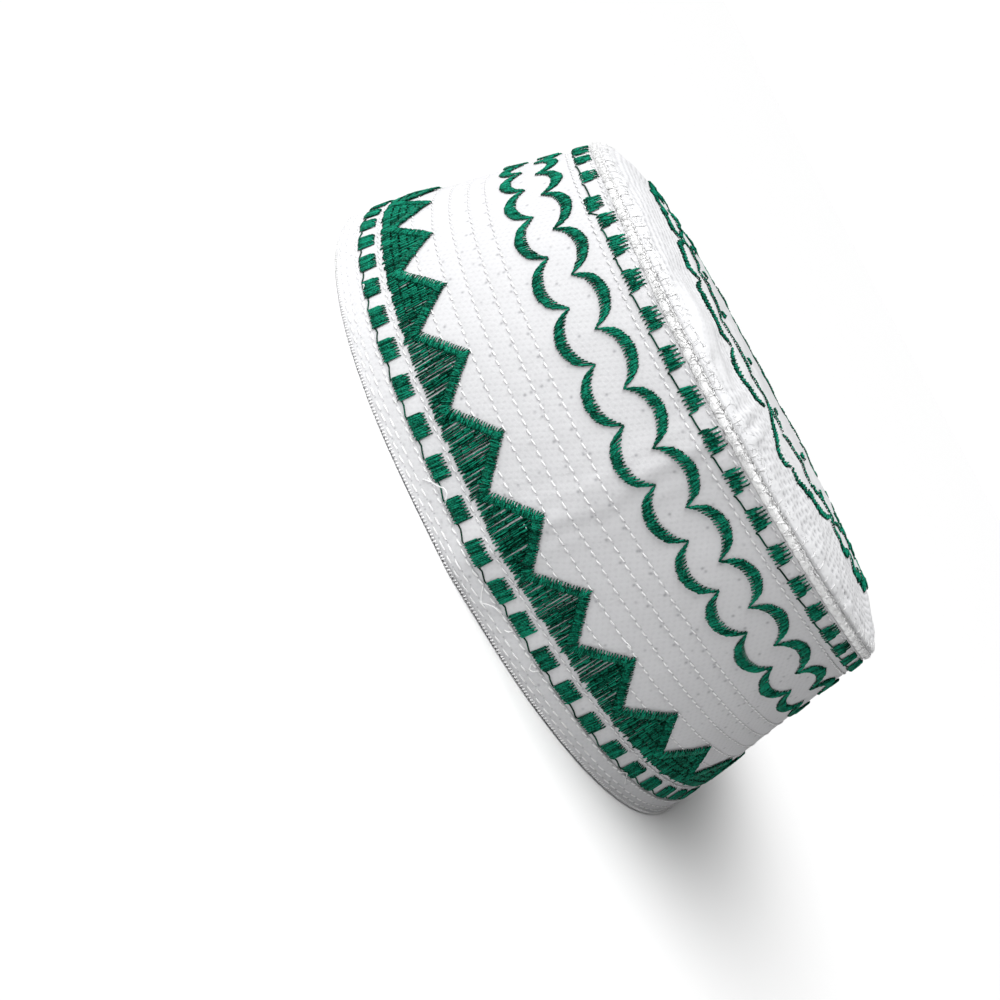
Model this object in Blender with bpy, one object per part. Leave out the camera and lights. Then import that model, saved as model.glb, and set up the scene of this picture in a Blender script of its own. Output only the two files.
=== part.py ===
"""Prayer cap: a soft, brimless cap of quilted white cloth that stands on its hem, crown up.

The cap has four sewn pieces: a folded hem strip, the side band above it, the crown seam, a rounded bead
that is overcast all round, and the crown's disc. It was folded flat once, so it has a crease down the front
and one down the back, and its section turns from almost round at the hem to a long oval at the seam. The
front looks along -Y. Angles go round the cap from the front towards +X. Heights go up along the cloth from
the lowest row of stitches, a little above the hem's edge. All lengths are in metres.
"""
import math

import bmesh
import bpy
from mathutils import Vector

# Driving sizes of the band
HEM_RADIUS = 0.094
SEAM_HEIGHT = 0.0751
MIDDLE_RADIUS_SHARE = 0.989
SEAM_RADIUS_SHARE = 0.9555
OVAL_AT_HEM = -0.028
OVAL_AT_SEAM = 0.120
SQUARE_SHARE = -0.0114
CREASE_HEIGHT = 0.0012
CREASE_WIDTH = 0.0100
CREASE_ROUNDING = 0.0020
BACK_TUCK_SHARE = 0.07
BACK_DROP_SHARE = 0.16
MEAN_SLANT = 0.985

# Cloth, and the gap that sewn pieces keep
WALL = 0.0020
GAP = 0.0003

# Hem strip
HEM_EDGE = -0.0014
HEM_STRIP_TOP = 0.0059
HEM_STRIP_WALL = 0.0026
HEM_STRIP_ROUNDING = 0.0004

# Crown seam
SEAM_BEAD_RADIUS = 0.0013
SEAM_BEAD_SIDES = 8

# Crown: a padded disc whose shoulder rises from the seam, with a low dome that is fullest at the front
CROWN_RISE = 0.0064
CROWN_RIM_INSET = 0.0002
CROWN_ROUNDING = 5.4
CROWN_SLOPE = 0.64
CROWN_BACK_LOSS = 0.15
DOME_RISE = 0.0016
DOME_BACK_LOSS = 1.63
# Each dent: angle from the front in degrees, distance in from the seam, half width and depth in metres
CROWN_DENTS = (
    {"angle": -24.0, "inset": 0.011, "half_width": 0.008, "depth": 0.0012},
    {"angle": -8.0, "inset": 0.012, "half_width": 0.008, "depth": 0.0014},
    {"angle": 9.0, "inset": 0.009, "half_width": 0.007, "depth": 0.0010},
    {"angle": 52.0, "inset": 0.012, "half_width": 0.011, "depth": 0.0012},
    {"angle": 128.0, "inset": 0.014, "half_width": 0.012, "depth": 0.0012},
    {"angle": -132.0, "inset": 0.014, "half_width": 0.012, "depth": 0.0012},
)

# Facets
STATIONS = 84
BAND_LEVELS = 6
CROWN_OUTER_TURNS = (0.0, 4.0, 12.0, 22.0, 34.0, 48.0, 60.0, 72.0, 82.0)
CROWN_INNER_TURNS = (82.0, 68.0, 50.0, 32.0, 14.0, 0.0)

CLOTH_COLOR = (0.90, 0.90, 0.91, 1.0)
THREAD_COLOR = (0.93, 0.93, 0.93, 1.0)


def taper_share(share):
    """Mean radius at a share of the band's height, as a share of the hem's: a parabola through three levels."""
    middle = MIDDLE_RADIUS_SHARE - 1.0
    top = SEAM_RADIUS_SHARE - 1.0
    return 1.0 + (4.0 * middle - top) * share + (2.0 * top - 4.0 * middle) * share * share


def crease_height(angle):
    """How far the front and back creases stand out at an angle."""
    height = 0.0
    for crease_angle in (0.0, math.pi):
        turn = math.remainder(angle - crease_angle, 2.0 * math.pi)
        distance = math.hypot(turn * HEM_RADIUS, CREASE_ROUNDING) - CREASE_ROUNDING
        height += CREASE_HEIGHT * math.exp(-distance / CREASE_WIDTH)
    return height


def wall_radius(angle, share):
    """Outer radius of the band at an angle from the front and a share of its height."""
    oval = OVAL_AT_HEM + (OVAL_AT_SEAM - OVAL_AT_HEM) * share
    form = 1.0 + oval * math.cos(2.0 * angle) + SQUARE_SHARE * math.cos(4.0 * angle)
    tuck = 1.0 - BACK_TUCK_SHARE * share * max(0.0, -math.cos(angle)) ** 2
    return HEM_RADIUS * taper_share(share) * form * tuck + crease_height(angle)


def slant_share(angle):
    """Upright height of the leaning band at an angle, as a share of its width along the cloth."""
    lean = (wall_radius(angle, 0.0) - wall_radius(angle, 1.0)) / SEAM_HEIGHT
    return math.sqrt(1.0 - lean * lean)


def back_share(along):
    """Share of every height that is left at a distance along Y from the middle, less towards the back."""
    return 1.0 - BACK_DROP_SHARE * (1.0 + along / HEM_RADIUS) / 2.0


# The seam's front and back reach furthest along Y, so they set the middle of the cap
CENTER_SHIFT = (wall_radius(0.0, 1.0) - wall_radius(math.pi, 1.0)) / 2.0


def placed(angle, radius, height):
    """Point at an angle and a radius, at a height along the leaning cloth."""
    along = -math.cos(angle) * radius
    upright = (height - HEM_EDGE) * slant_share(angle) * back_share(along)
    return Vector((math.sin(angle) * radius, along + CENTER_SHIFT, upright))


def band_point(angle, height, inset):
    """Point of the band at a height, moved in from its outer face."""
    return placed(angle, wall_radius(angle, height / SEAM_HEIGHT) - inset, height)


def dent_depth(point):
    """How far the crown's dents lower it at a point."""
    depth = 0.0
    for dent in CROWN_DENTS:
        angle = math.radians(dent["angle"])
        center = placed(angle, wall_radius(angle, 1.0) - dent["inset"], SEAM_HEIGHT)
        distance = (point.xy - center.xy).length / dent["half_width"]
        depth += dent["depth"] * math.exp(-distance * distance)
    return depth


def crown_point(angle, turn, inset):
    """Point of the crown: its rim is at a turn of 0 degrees and its middle at 90, in from the outer face."""
    share = math.sqrt(math.cos(math.radians(turn)))
    radius = (wall_radius(angle, 1.0) - CROWN_RIM_INSET - inset) * share
    along = -math.cos(angle) * radius
    slant = MEAN_SLANT + (slant_share(angle) - MEAN_SLANT) * share * share
    seam = (SEAM_HEIGHT - HEM_EDGE) * slant * back_share(along)
    fullness = (1.0 - share**CROWN_ROUNDING) ** CROWN_SLOPE
    rise = (CROWN_RISE * (1.0 - CROWN_BACK_LOSS * along / HEM_RADIUS) - inset) * fullness
    dome = DOME_RISE * (1.0 - share * share) * max(0.0, 1.0 - DOME_BACK_LOSS * along / HEM_RADIUS)
    height = seam + SEAM_BEAD_RADIUS + GAP + rise + dome
    point = Vector((math.sin(angle) * radius, along + CENTER_SHIFT, height))
    point.z -= dent_depth(point) * fullness
    return point


def cloth_material(name, color, roughness):
    """Matt cloth of one colour."""
    material = bpy.data.materials.new(name)
    material.use_nodes = True
    shader = material.node_tree.nodes["Principled BSDF"]
    shader.inputs["Base Color"].default_value = color
    shader.inputs["Roughness"].default_value = roughness
    shader.inputs["Metallic"].default_value = 0.0
    return material


def add_piece(name, bm, material):
    """Turn a closed bmesh into an object with its own material, faces out."""
    bmesh.ops.recalc_face_normals(bm, faces=bm.faces)
    mesh = bpy.data.meshes.new(name)
    bm.to_mesh(mesh)
    bm.free()
    mesh.materials.append(material)
    mesh.shade_smooth()
    mesh.set_sharp_from_angle(angle=math.radians(40.0))
    piece = bpy.data.objects.new(name, mesh)
    bpy.context.scene.collection.objects.link(piece)
    return piece


def station_angles():
    """Angles of the stations round the cap, with one on each crease."""
    return [2.0 * math.pi * station / STATIONS for station in range(STATIONS)]


def ring_of(bm, points):
    """Vertices at the points of one closed ring."""
    return [bm.verts.new(point) for point in points]


def bridge(bm, ring, next_ring):
    """Quads between two rings of as many vertices."""
    for index in range(len(ring)):
        after = (index + 1) % len(ring)
        bm.faces.new((ring[index], ring[after], next_ring[after], next_ring[index]))


def add_turned_ring(name, section, material):
    """Closed ring whose section, a loop of points, is worked out anew at each station."""
    bm = bmesh.new()
    rings = [ring_of(bm, section(angle)) for angle in station_angles()]
    for index, ring in enumerate(rings):
        bridge(bm, ring, rings[(index + 1) % len(rings)])
    return add_piece(name, bm, material)


def hem_strip_section(angle):
    """Section of the folded strip: flat below and above, its edges a little rounded."""
    outer = (HEM_STRIP_WALL - WALL) / -2.0
    inner = outer + HEM_STRIP_WALL
    rounding = HEM_STRIP_ROUNDING
    middle = (HEM_EDGE + HEM_STRIP_TOP) / 2.0
    corners = (
        (outer + rounding, HEM_EDGE),
        (inner - rounding, HEM_EDGE),
        (inner, HEM_EDGE + rounding),
        (inner, middle),
        (inner, HEM_STRIP_TOP - rounding),
        (inner - rounding, HEM_STRIP_TOP),
        (outer + rounding, HEM_STRIP_TOP),
        (outer, HEM_STRIP_TOP - rounding),
        (outer, middle),
        (outer, HEM_EDGE + rounding),
    )
    return [band_point(angle, height, inset) for inset, height in corners]


def side_band_section(angle):
    """Section of the band: a wall of even thickness between the hem strip and the seam's bead."""
    bottom = HEM_STRIP_TOP + GAP
    top = SEAM_HEIGHT - SEAM_BEAD_RADIUS - GAP
    levels = [bottom + (top - bottom) * level / BAND_LEVELS for level in range(BAND_LEVELS + 1)]
    outer = [band_point(angle, height, 0.0) for height in levels]
    inner = [band_point(angle, height, WALL) for height in reversed(levels)]
    return outer + inner


def crown_seam_section(angle):
    """Section of the bead: a round one, over the middle of the band's wall."""
    radius = wall_radius(angle, 1.0) - WALL / 2.0
    points = []
    for side in range(SEAM_BEAD_SIDES):
        turn = 2.0 * math.pi * (side + 0.5) / SEAM_BEAD_SIDES
        reach = SEAM_BEAD_RADIUS / math.cos(math.pi / SEAM_BEAD_SIDES)
        points.append(placed(angle, radius + reach * math.cos(turn), SEAM_HEIGHT + reach * math.sin(turn)))
    return points


def add_hem_strip():
    """The strip of folded cloth round the opening."""
    return add_turned_ring("hem_strip", hem_strip_section, cloth_material("hem_cloth", CLOTH_COLOR, 0.90))


def add_side_band():
    """The quilted band."""
    return add_turned_ring("side_band", side_band_section, cloth_material("band_cloth", CLOTH_COLOR, 0.88))


def add_crown_seam():
    """The overcast bead between the band and the crown."""
    return add_turned_ring("crown_seam", crown_seam_section, cloth_material("seam_thread", THREAD_COLOR, 0.80))


def add_crown_top():
    """The crown's disc: an outer face, an inner face one wall below it, and the rim between them."""
    bm = bmesh.new()
    angles = station_angles()
    outer = [ring_of(bm, [crown_point(angle, turn, 0.0) for angle in angles]) for turn in CROWN_OUTER_TURNS]
    inner = [ring_of(bm, [crown_point(angle, turn, WALL) for angle in angles]) for turn in CROWN_INNER_TURNS]
    for rings in (outer, inner, (inner[-1], outer[0])):
        for ring, next_ring in zip(rings[:-1], rings[1:]):
            bridge(bm, ring, next_ring)
    for ring, inset in ((outer[-1], 0.0), (inner[0], WALL)):
        middle = bm.verts.new(crown_point(0.0, 90.0, inset))
        for index in range(STATIONS):
            bm.faces.new((ring[index], ring[(index + 1) % STATIONS], middle))
    return add_piece("crown_top", bm, cloth_material("crown_cloth", CLOTH_COLOR, 0.90))


def clear_scene():
    """Remove the objects of the scene that the script starts in."""
    for item in list(bpy.data.objects):
        bpy.data.objects.remove(item, do_unlink=True)


def build_cap():
    """Model the four pieces under one empty at the cap's origin."""
    clear_scene()
    root = bpy.data.objects.new("cap", None)
    bpy.context.scene.collection.objects.link(root)
    for piece in (add_hem_strip(), add_side_band(), add_crown_seam(), add_crown_top()):
        piece.parent = root


build_cap()
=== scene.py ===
"""Looks of a soft prayer cap: quilted white cloth with green machine embroidery, standing on its hem.

The cloth, the threads and every stitch are laid out on an unrolled pattern, as the cap was sewn, and then
wrapped onto the cap's form, which has the same sizes as its solids. On the pattern of the band, along runs
round the cap from the front crease towards +X and height runs up the cloth from the lowest row of stitches.
On the pattern of the crown, height is the distance in from the seam. Both are in millimetres. Meshes are in
metres.
"""
import logging
import math
from dataclasses import dataclass, field
from enum import Enum
from typing import Callable, Sequence

import bpy
import numpy as np
from mathutils import Matrix, Vector


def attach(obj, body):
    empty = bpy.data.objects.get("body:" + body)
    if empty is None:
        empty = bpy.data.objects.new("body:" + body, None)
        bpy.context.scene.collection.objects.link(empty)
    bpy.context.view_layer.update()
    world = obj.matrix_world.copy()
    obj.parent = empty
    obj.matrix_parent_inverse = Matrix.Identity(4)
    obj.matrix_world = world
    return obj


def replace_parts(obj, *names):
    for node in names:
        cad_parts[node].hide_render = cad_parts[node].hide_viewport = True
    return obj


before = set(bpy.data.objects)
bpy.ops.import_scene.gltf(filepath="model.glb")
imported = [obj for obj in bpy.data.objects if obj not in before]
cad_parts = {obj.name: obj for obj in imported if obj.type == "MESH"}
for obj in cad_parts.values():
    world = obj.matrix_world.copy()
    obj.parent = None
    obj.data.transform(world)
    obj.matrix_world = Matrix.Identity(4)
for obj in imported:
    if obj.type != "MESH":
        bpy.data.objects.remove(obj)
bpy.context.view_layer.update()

LOG = logging.getLogger("prayer_cap")
MM = 0.001
BODY = "root"
# The band's pattern: its length round the cap in millimetres, and where its texture coordinates lie
BAND_RING = 590.0
UV_RISE = 0.2
LINING_RISE = 300.0

Array = np.ndarray
Pair = tuple[float, float]
Pairs = tuple[Pair, ...]
Triple = tuple[float, float, float]
Color = tuple[float, float, float, float]
Line = Callable[[Array], Array]
Socket = bpy.types.NodeSocket
Piece = bpy.types.Object


def as_array(values: object) -> Array:
    """The values as an array of floats."""
    return np.asarray(values, dtype=float)


def unit(vectors: Array) -> Array:
    """Vectors of length one along the last axis."""
    return vectors / np.maximum(np.linalg.norm(vectors, axis=-1, keepdims=True), 1e-12)


def bump_at(distance: Array, width: float) -> Array:
    """A smooth hump that is 1 at no distance and fades over the width."""
    return np.exp(-((distance / width) ** 2))


def wrapped(along: Array, ring: float) -> Array:
    """The same places on a closed row, counted from the front either way."""
    return np.remainder(as_array(along) + ring / 2.0, ring) - ring / 2.0


def columns_of(pairs: Pairs) -> tuple[Array, Array]:
    """The first values and the second values of some pairs."""
    table = as_array(pairs)
    return table[:, 0], table[:, 1]


def round_way(count: int, ring: float) -> Array:
    """Even places on a closed row, from its back round the front to its back."""
    return (np.arange(count) / count - 0.5) * ring


def level_line(height: float) -> Line:
    """A line that has the same height everywhere."""
    return lambda place: np.full_like(place, height)


@dataclass(frozen=True)
class Dent:
    """A shallow dent of the crown: angle from the front in degrees, and lengths in metres."""

    angle: float
    inset: float
    half_width: float
    depth: float


@dataclass(frozen=True)
class CapForm:
    """The cap's shape, from the sizes of its solids. Angles go from the front towards +X."""

    hem_radius: float = 0.094
    seam_height: float = 0.0751
    middle_radius_share: float = 0.989
    seam_radius_share: float = 0.9555
    oval_at_hem: float = -0.028
    oval_at_seam: float = 0.120
    square_share: float = -0.0114
    crease_height: float = 0.0012
    crease_width: float = 0.0100
    crease_rounding: float = 0.0020
    back_tuck_share: float = 0.07
    back_drop_share: float = 0.16
    mean_slant: float = 0.985
    wall: float = 0.0020
    gap: float = 0.0003
    hem_edge: float = -0.0014
    strip_top: float = 0.0059
    strip_wall: float = 0.0026
    bead_radius: float = 0.0013
    crown_rise: float = 0.0064
    crown_rim_inset: float = 0.0002
    crown_rounding: float = 5.4
    crown_slope: float = 0.64
    crown_back_loss: float = 0.15
    dome_rise: float = 0.0016
    dome_back_loss: float = 1.63
    dents: tuple[Dent, ...] = (
        Dent(-24.0, 0.011, 0.008, 0.0012),
        Dent(-8.0, 0.012, 0.008, 0.0014),
        Dent(9.0, 0.009, 0.007, 0.0010),
        Dent(52.0, 0.012, 0.011, 0.0012),
        Dent(128.0, 0.014, 0.012, 0.0012),
        Dent(-132.0, 0.014, 0.012, 0.0012),
    )

    def taper(self, share: Array) -> Array:
        """Mean radius at a share of the band's height, as a share of the hem's."""
        middle = self.middle_radius_share - 1.0
        top = self.seam_radius_share - 1.0
        return 1.0 + (4.0 * middle - top) * share + (2.0 * top - 4.0 * middle) * share * share

    def crease(self, angle: Array) -> Array:
        """How far the front and back creases stand out.

        Args:
            angle: Angles from the front.

        Returns:
            Distances in metres.
        """
        height = np.zeros_like(angle)
        for crease_angle in (0.0, math.pi):
            turn = np.remainder(angle - crease_angle + math.pi, math.tau) - math.pi
            distance = np.hypot(turn * self.hem_radius, self.crease_rounding) - self.crease_rounding
            height = height + self.crease_height * np.exp(-distance / self.crease_width)
        return height

    def wall_radius(self, angle: Array, share: Array) -> Array:
        """Outer radius of the band.

        Args:
            angle: Angles from the front.
            share: Shares of the band's height.

        Returns:
            Radii in metres.
        """
        oval = self.oval_at_hem + (self.oval_at_seam - self.oval_at_hem) * share
        outline = 1.0 + oval * np.cos(2.0 * angle) + self.square_share * np.cos(4.0 * angle)
        tuck = 1.0 - self.back_tuck_share * share * np.maximum(0.0, -np.cos(angle)) ** 2
        return self.hem_radius * self.taper(share) * outline * tuck + self.crease(angle)

    def slant(self, angle: Array) -> Array:
        """Upright height of the leaning band, as a share of its width along the cloth."""
        lean = (self.wall_radius(angle, 0.0) - self.wall_radius(angle, 1.0)) / self.seam_height
        return np.sqrt(1.0 - lean * lean)

    def back(self, along_y: Array) -> Array:
        """Share of every height that is left towards the back."""
        return 1.0 - self.back_drop_share * (1.0 + along_y / self.hem_radius) / 2.0

    def center_shift(self) -> float:
        """How far the cap is moved along Y, so that the middle of its box is at the origin."""
        front = self.wall_radius(as_array(0.0), 1.0)
        back = self.wall_radius(as_array(math.pi), 1.0)
        return float(front - back) / 2.0

    def placed(self, angle: Array, radius: Array, height: Array) -> Array:
        """Points at an angle and a radius, at a height along the leaning cloth.

        Args:
            angle: Angles from the front.
            radius: Radii in metres.
            height: Heights along the cloth in metres.

        Returns:
            The points, with one more axis than the angles.
        """
        along_y = -np.cos(angle) * radius
        upright = (height - self.hem_edge) * self.slant(angle) * self.back(along_y)
        return np.stack([np.sin(angle) * radius, along_y + self.center_shift(), upright], -1)

    def band_point(self, angle: Array, height: Array, inset: float = 0.0) -> Array:
        """Points of the band at heights in metres, moved in from its outer face."""
        return self.placed(angle, self.wall_radius(angle, height / self.seam_height) - inset, height)

    def dent_depth(self, x: Array, y: Array) -> Array:
        """How far the crown's dents lower it.

        Args:
            x: Places across, in metres.
            y: Places from front to back, in metres.

        Returns:
            Depths in metres.
        """
        depth = np.zeros_like(x)
        for dent in self.dents:
            angle = as_array(math.radians(dent.angle))
            center = self.placed(angle, self.wall_radius(angle, 1.0) - dent.inset, self.seam_height)
            distance = np.hypot(x - center[0], y - center[1])
            depth = depth + dent.depth * bump_at(distance, dent.half_width)
        return depth

    def crown_point(self, angle: Array, share: Array, inset: float = 0.0) -> Array:
        """Points of the crown.

        Args:
            angle: Angles from the front.
            share: Shares of the way out from the middle, 0 to 1.
            inset: Distance in from the outer face in metres.

        Returns:
            The points, with one more axis than the angles.
        """
        share = np.clip(share, 0.0, 1.0)
        radius = (self.wall_radius(angle, 1.0) - self.crown_rim_inset - inset) * share
        along_y = -np.cos(angle) * radius
        back = along_y / self.hem_radius
        slant = self.mean_slant + (self.slant(angle) - self.mean_slant) * share * share
        seam = (self.seam_height - self.hem_edge) * slant * self.back(along_y)
        fullness = (1.0 - share**self.crown_rounding) ** self.crown_slope
        rise = (self.crown_rise * (1.0 - self.crown_back_loss * back) - inset) * fullness
        dome = self.dome_rise * (1.0 - share * share) * np.maximum(0.0, 1.0 - self.dome_back_loss * back)
        x = np.sin(angle) * radius
        y = along_y + self.center_shift()
        height = seam + self.bead_radius + self.gap + rise + dome
        return np.stack([x, y, height - self.dent_depth(x, y) * fullness], -1)


class SoftNoise:
    """A gentle, repeatable unevenness: a sum of a few waves that join up round the cap."""

    def __init__(self, seed: int, ring: float, shortest: float, longest: float, waves: int = 14) -> None:
        """Chooses the waves.

        Args:
            seed: Seed of the random choice.
            ring: Length in millimetres after which the unevenness repeats.
            shortest: Shortest wave in millimetres.
            longest: Longest wave in millimetres.
            waves: Number of waves.
        """
        rng = np.random.default_rng(seed)
        length = shortest * (longest / shortest) ** rng.random(waves)
        turn = rng.random(waves) * math.pi
        self.cycles = np.round(np.cos(turn) * ring / length) / ring
        self.across = np.sin(turn) / length
        self.phase = rng.random(waves) * math.tau
        self.weight = (length / longest) ** 0.5
        self.weight = self.weight / np.sqrt(np.sum(self.weight**2) / 2.0)

    def at(self, along: Array, height: Array) -> Array:
        """Reads the unevenness.

        Args:
            along: Distances round the cap in millimetres.
            height: Heights on the pattern in millimetres.

        Returns:
            Values of about -1 to 1.
        """
        total = np.zeros(np.broadcast(along, height).shape)
        for cycles, across, phase, weight in zip(self.cycles, self.across, self.phase, self.weight):
            total = total + weight * np.sin(math.tau * (along * cycles + height * across) + phase)
        return total / 2.0


@dataclass(frozen=True)
class StitchRow:
    """One row of white running stitches on a pattern."""

    height: float
    count: int = 218
    phase: float = 0.0
    visible: float = 0.68
    tilt: float = 0.30
    width: float = 0.38

    def swing(self, along: Array, ring: float) -> Array:
        """Values that are 1 in the middle of each stitch and -1 between two."""
        return np.cos(math.tau * (along - self.phase) * self.count / ring)


class SewnSurface:
    """A cloth surface that patterns are laid on."""

    form: CapForm
    ring: float
    probe: float = 0.15

    def ground(self, along: Array, height: Array) -> Array:
        """Points of the smooth surface in metres."""
        raise NotImplementedError

    def relief(self, along: Array, height: Array) -> Array:
        """How far the quilted cloth stands out from the smooth surface, in millimetres."""
        raise NotImplementedError

    def outward(self, along: Array, height: Array) -> Array:
        """Directions that point out of the cloth.

        Args:
            along: Distances round the cap in millimetres.
            height: Heights on the pattern in millimetres.

        Returns:
            Vectors of length one.
        """
        step = self.probe
        round_way = self.ground(along + step, height) - self.ground(along - step, height)
        up_way = self.ground(along, height + step) - self.ground(along, height - step)
        return unit(np.cross(round_way, up_way))

    def lay(self, along: Array, height: Array, lift: Array) -> tuple[Array, Array]:
        """Wraps places of the pattern onto the cloth.

        Args:
            along: Distances round the cap in millimetres.
            height: Heights on the pattern in millimetres.
            lift: Distances above the cloth in millimetres.

        Returns:
            The points in metres, and the directions out of the cloth there.
        """
        normal = self.outward(along, height)
        stand = (self.relief(along, height) + lift) * MM
        return self.ground(along, height) + normal * stand[..., None], normal


class BandSurface(SewnSurface):
    """The side band and the hem strip, unrolled. Its relief is in millimetres.

    A start or an end is a height, and the length over which the relief comes or goes there.
    """

    LEVELS = 56
    STATIONS = 2880
    WIDE_FOLD = 0.20
    SMALL_FOLD = 0.05
    PUFF_LIMIT = 0.08
    PUFF_SHARE = 0.018
    PUFF_FLATNESS = 0.8
    GROOVE_DEPTH = 0.05
    GROOVE_WIDTH = 0.50
    STITCH_PULL = 0.22
    RIDGE_HEIGHT = 1.05
    RIDGE_PLACE = 0.5
    RIDGE_ROUNDING = 0.8
    RIDGE_REACH = 8.5
    WRINKLE_HEIGHT = 0.16
    WRINKLE_PITCH = 6.3
    WRINKLE_REACH = 7.5
    WRINKLE_PLACE = 1.0
    WRINKLE_START = (4.0, 10.0)
    WRINKLE_SWAY = ((1.2, 9.0, 0.0), (0.8, 4.1, 1.0))
    RIDGE_START = (-1.4, 6.0)
    RIDGE_END = (75.5, 7.0)

    def __init__(self, form: CapForm, rows: Sequence[StitchRow]) -> None:
        """Measures the way round the band at many levels.

        Args:
            form: The cap's shape.
            rows: The rows of quilting that pull the cloth in.
        """
        self.form = form
        self.ring = BAND_RING
        self.rows = tuple(sorted(rows, key=lambda row: row.height))
        self.levels = np.linspace(form.hem_edge / MM - 1.0, form.seam_height / MM + 2.0, self.LEVELS)
        self.shares = np.linspace(-0.5, 0.5, self.STATIONS + 1)
        angles = np.linspace(-math.pi, math.pi, self.STATIONS + 1)
        table = []
        for level in self.levels:
            points = form.band_point(angles, level * MM)
            steps = np.linalg.norm(np.diff(points, axis=0), axis=1)
            way = np.concatenate([[0.0], np.cumsum(steps)])
            table.append(np.interp(self.shares, way / way[-1] - 0.5, angles))
        self.table = as_array(table)
        self.wide_folds = SoftNoise(11, self.ring, 22.0, 70.0)
        self.small_folds = SoftNoise(12, self.ring, 6.0, 15.0)

    def angle(self, along: Array, height: Array) -> Array:
        """Angles from the front at places of the pattern.

        Args:
            along: Distances round the cap in millimetres.
            height: Heights on the pattern in millimetres.

        Returns:
            The angles, read from the table of measured ways.
        """
        along, height = np.broadcast_arrays(as_array(along), as_array(height))
        share = np.remainder(along / self.ring + 0.5, 1.0) * self.STATIONS
        column = np.minimum(share.astype(int), self.STATIONS - 1)
        part = share - column
        level = (height - self.levels[0]) / (self.levels[1] - self.levels[0])
        row = np.clip(level.astype(int), 0, self.LEVELS - 2)
        up = level - row
        low = self.table[row, column] * (1.0 - part) + self.table[row, column + 1] * part
        high = self.table[row + 1, column] * (1.0 - part) + self.table[row + 1, column + 1] * part
        return low * (1.0 - up) + high * up

    def ground(self, along: Array, height: Array) -> Array:
        """Points of the smooth band in metres."""
        return self.form.band_point(self.angle(along, height), as_array(height) * MM)

    def relief(self, along: Array, height: Array) -> Array:
        """Quilting puffs between the rows, grooves along them, and soft folds.

        Args:
            along: Distances round the cap in millimetres.
            height: Heights on the pattern in millimetres.

        Returns:
            How far the cloth stands out from the smooth band, in millimetres.
        """
        along, height = np.broadcast_arrays(as_array(along), as_array(height))
        total = self.WIDE_FOLD * self.wide_folds.at(along, height)
        total = total + self.SMALL_FOLD * self.small_folds.at(along, height)
        for low, high in zip(self.rows[:-1], self.rows[1:]):
            gap = high.height - low.height
            share = (height - low.height) / gap
            inside = (share > 0.0) & (share < 1.0)
            puff = min(self.PUFF_LIMIT, self.PUFF_SHARE * gap)
            wave = np.sin(math.pi * np.clip(share, 0.0, 1.0)) ** self.PUFF_FLATNESS
            total = total + np.where(inside, puff * wave, 0.0)
        for row in self.rows:
            pull = 1.0 - self.STITCH_PULL + self.STITCH_PULL * row.swing(along, self.ring)
            total = total - self.GROOVE_DEPTH * pull * bump_at(height - row.height, self.GROOVE_WIDTH)
        return total + self.crease_folds(along, height)

    def crease_folds(self, along: Array, height: Array) -> Array:
        """The cloth's sharper ridge at the front crease, and short upright wrinkles beside it.

        Args:
            along: Distances round the cap in millimetres.
            height: Heights on the pattern in millimetres.

        Returns:
            How far the cloth stands out there, in millimetres.
        """
        upper = np.clip((height - self.WRINKLE_START[0]) / self.WRINKLE_START[1], 0.0, 1.0)
        fade = bump_at(along - self.WRINKLE_PLACE, self.WRINKLE_REACH) * upper
        sway = sum(size * np.sin(height / length + shift) for size, length, shift in self.WRINKLE_SWAY)
        wrinkles = self.WRINKLE_HEIGHT * fade * np.sin(math.tau * (along + sway) / self.WRINKLE_PITCH)
        ends = np.clip((height - self.RIDGE_START[0]) / self.RIDGE_START[1], 0.0, 1.0)
        ends = ends * np.clip((self.RIDGE_END[0] - height) / self.RIDGE_END[1], 0.0, 1.0)
        away = np.hypot(wrapped(along, self.ring) - self.RIDGE_PLACE, self.RIDGE_ROUNDING)
        ridge = self.RIDGE_HEIGHT * ends * np.exp(-(away - self.RIDGE_ROUNDING) / self.RIDGE_REACH)
        return ridge + wrinkles


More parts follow.
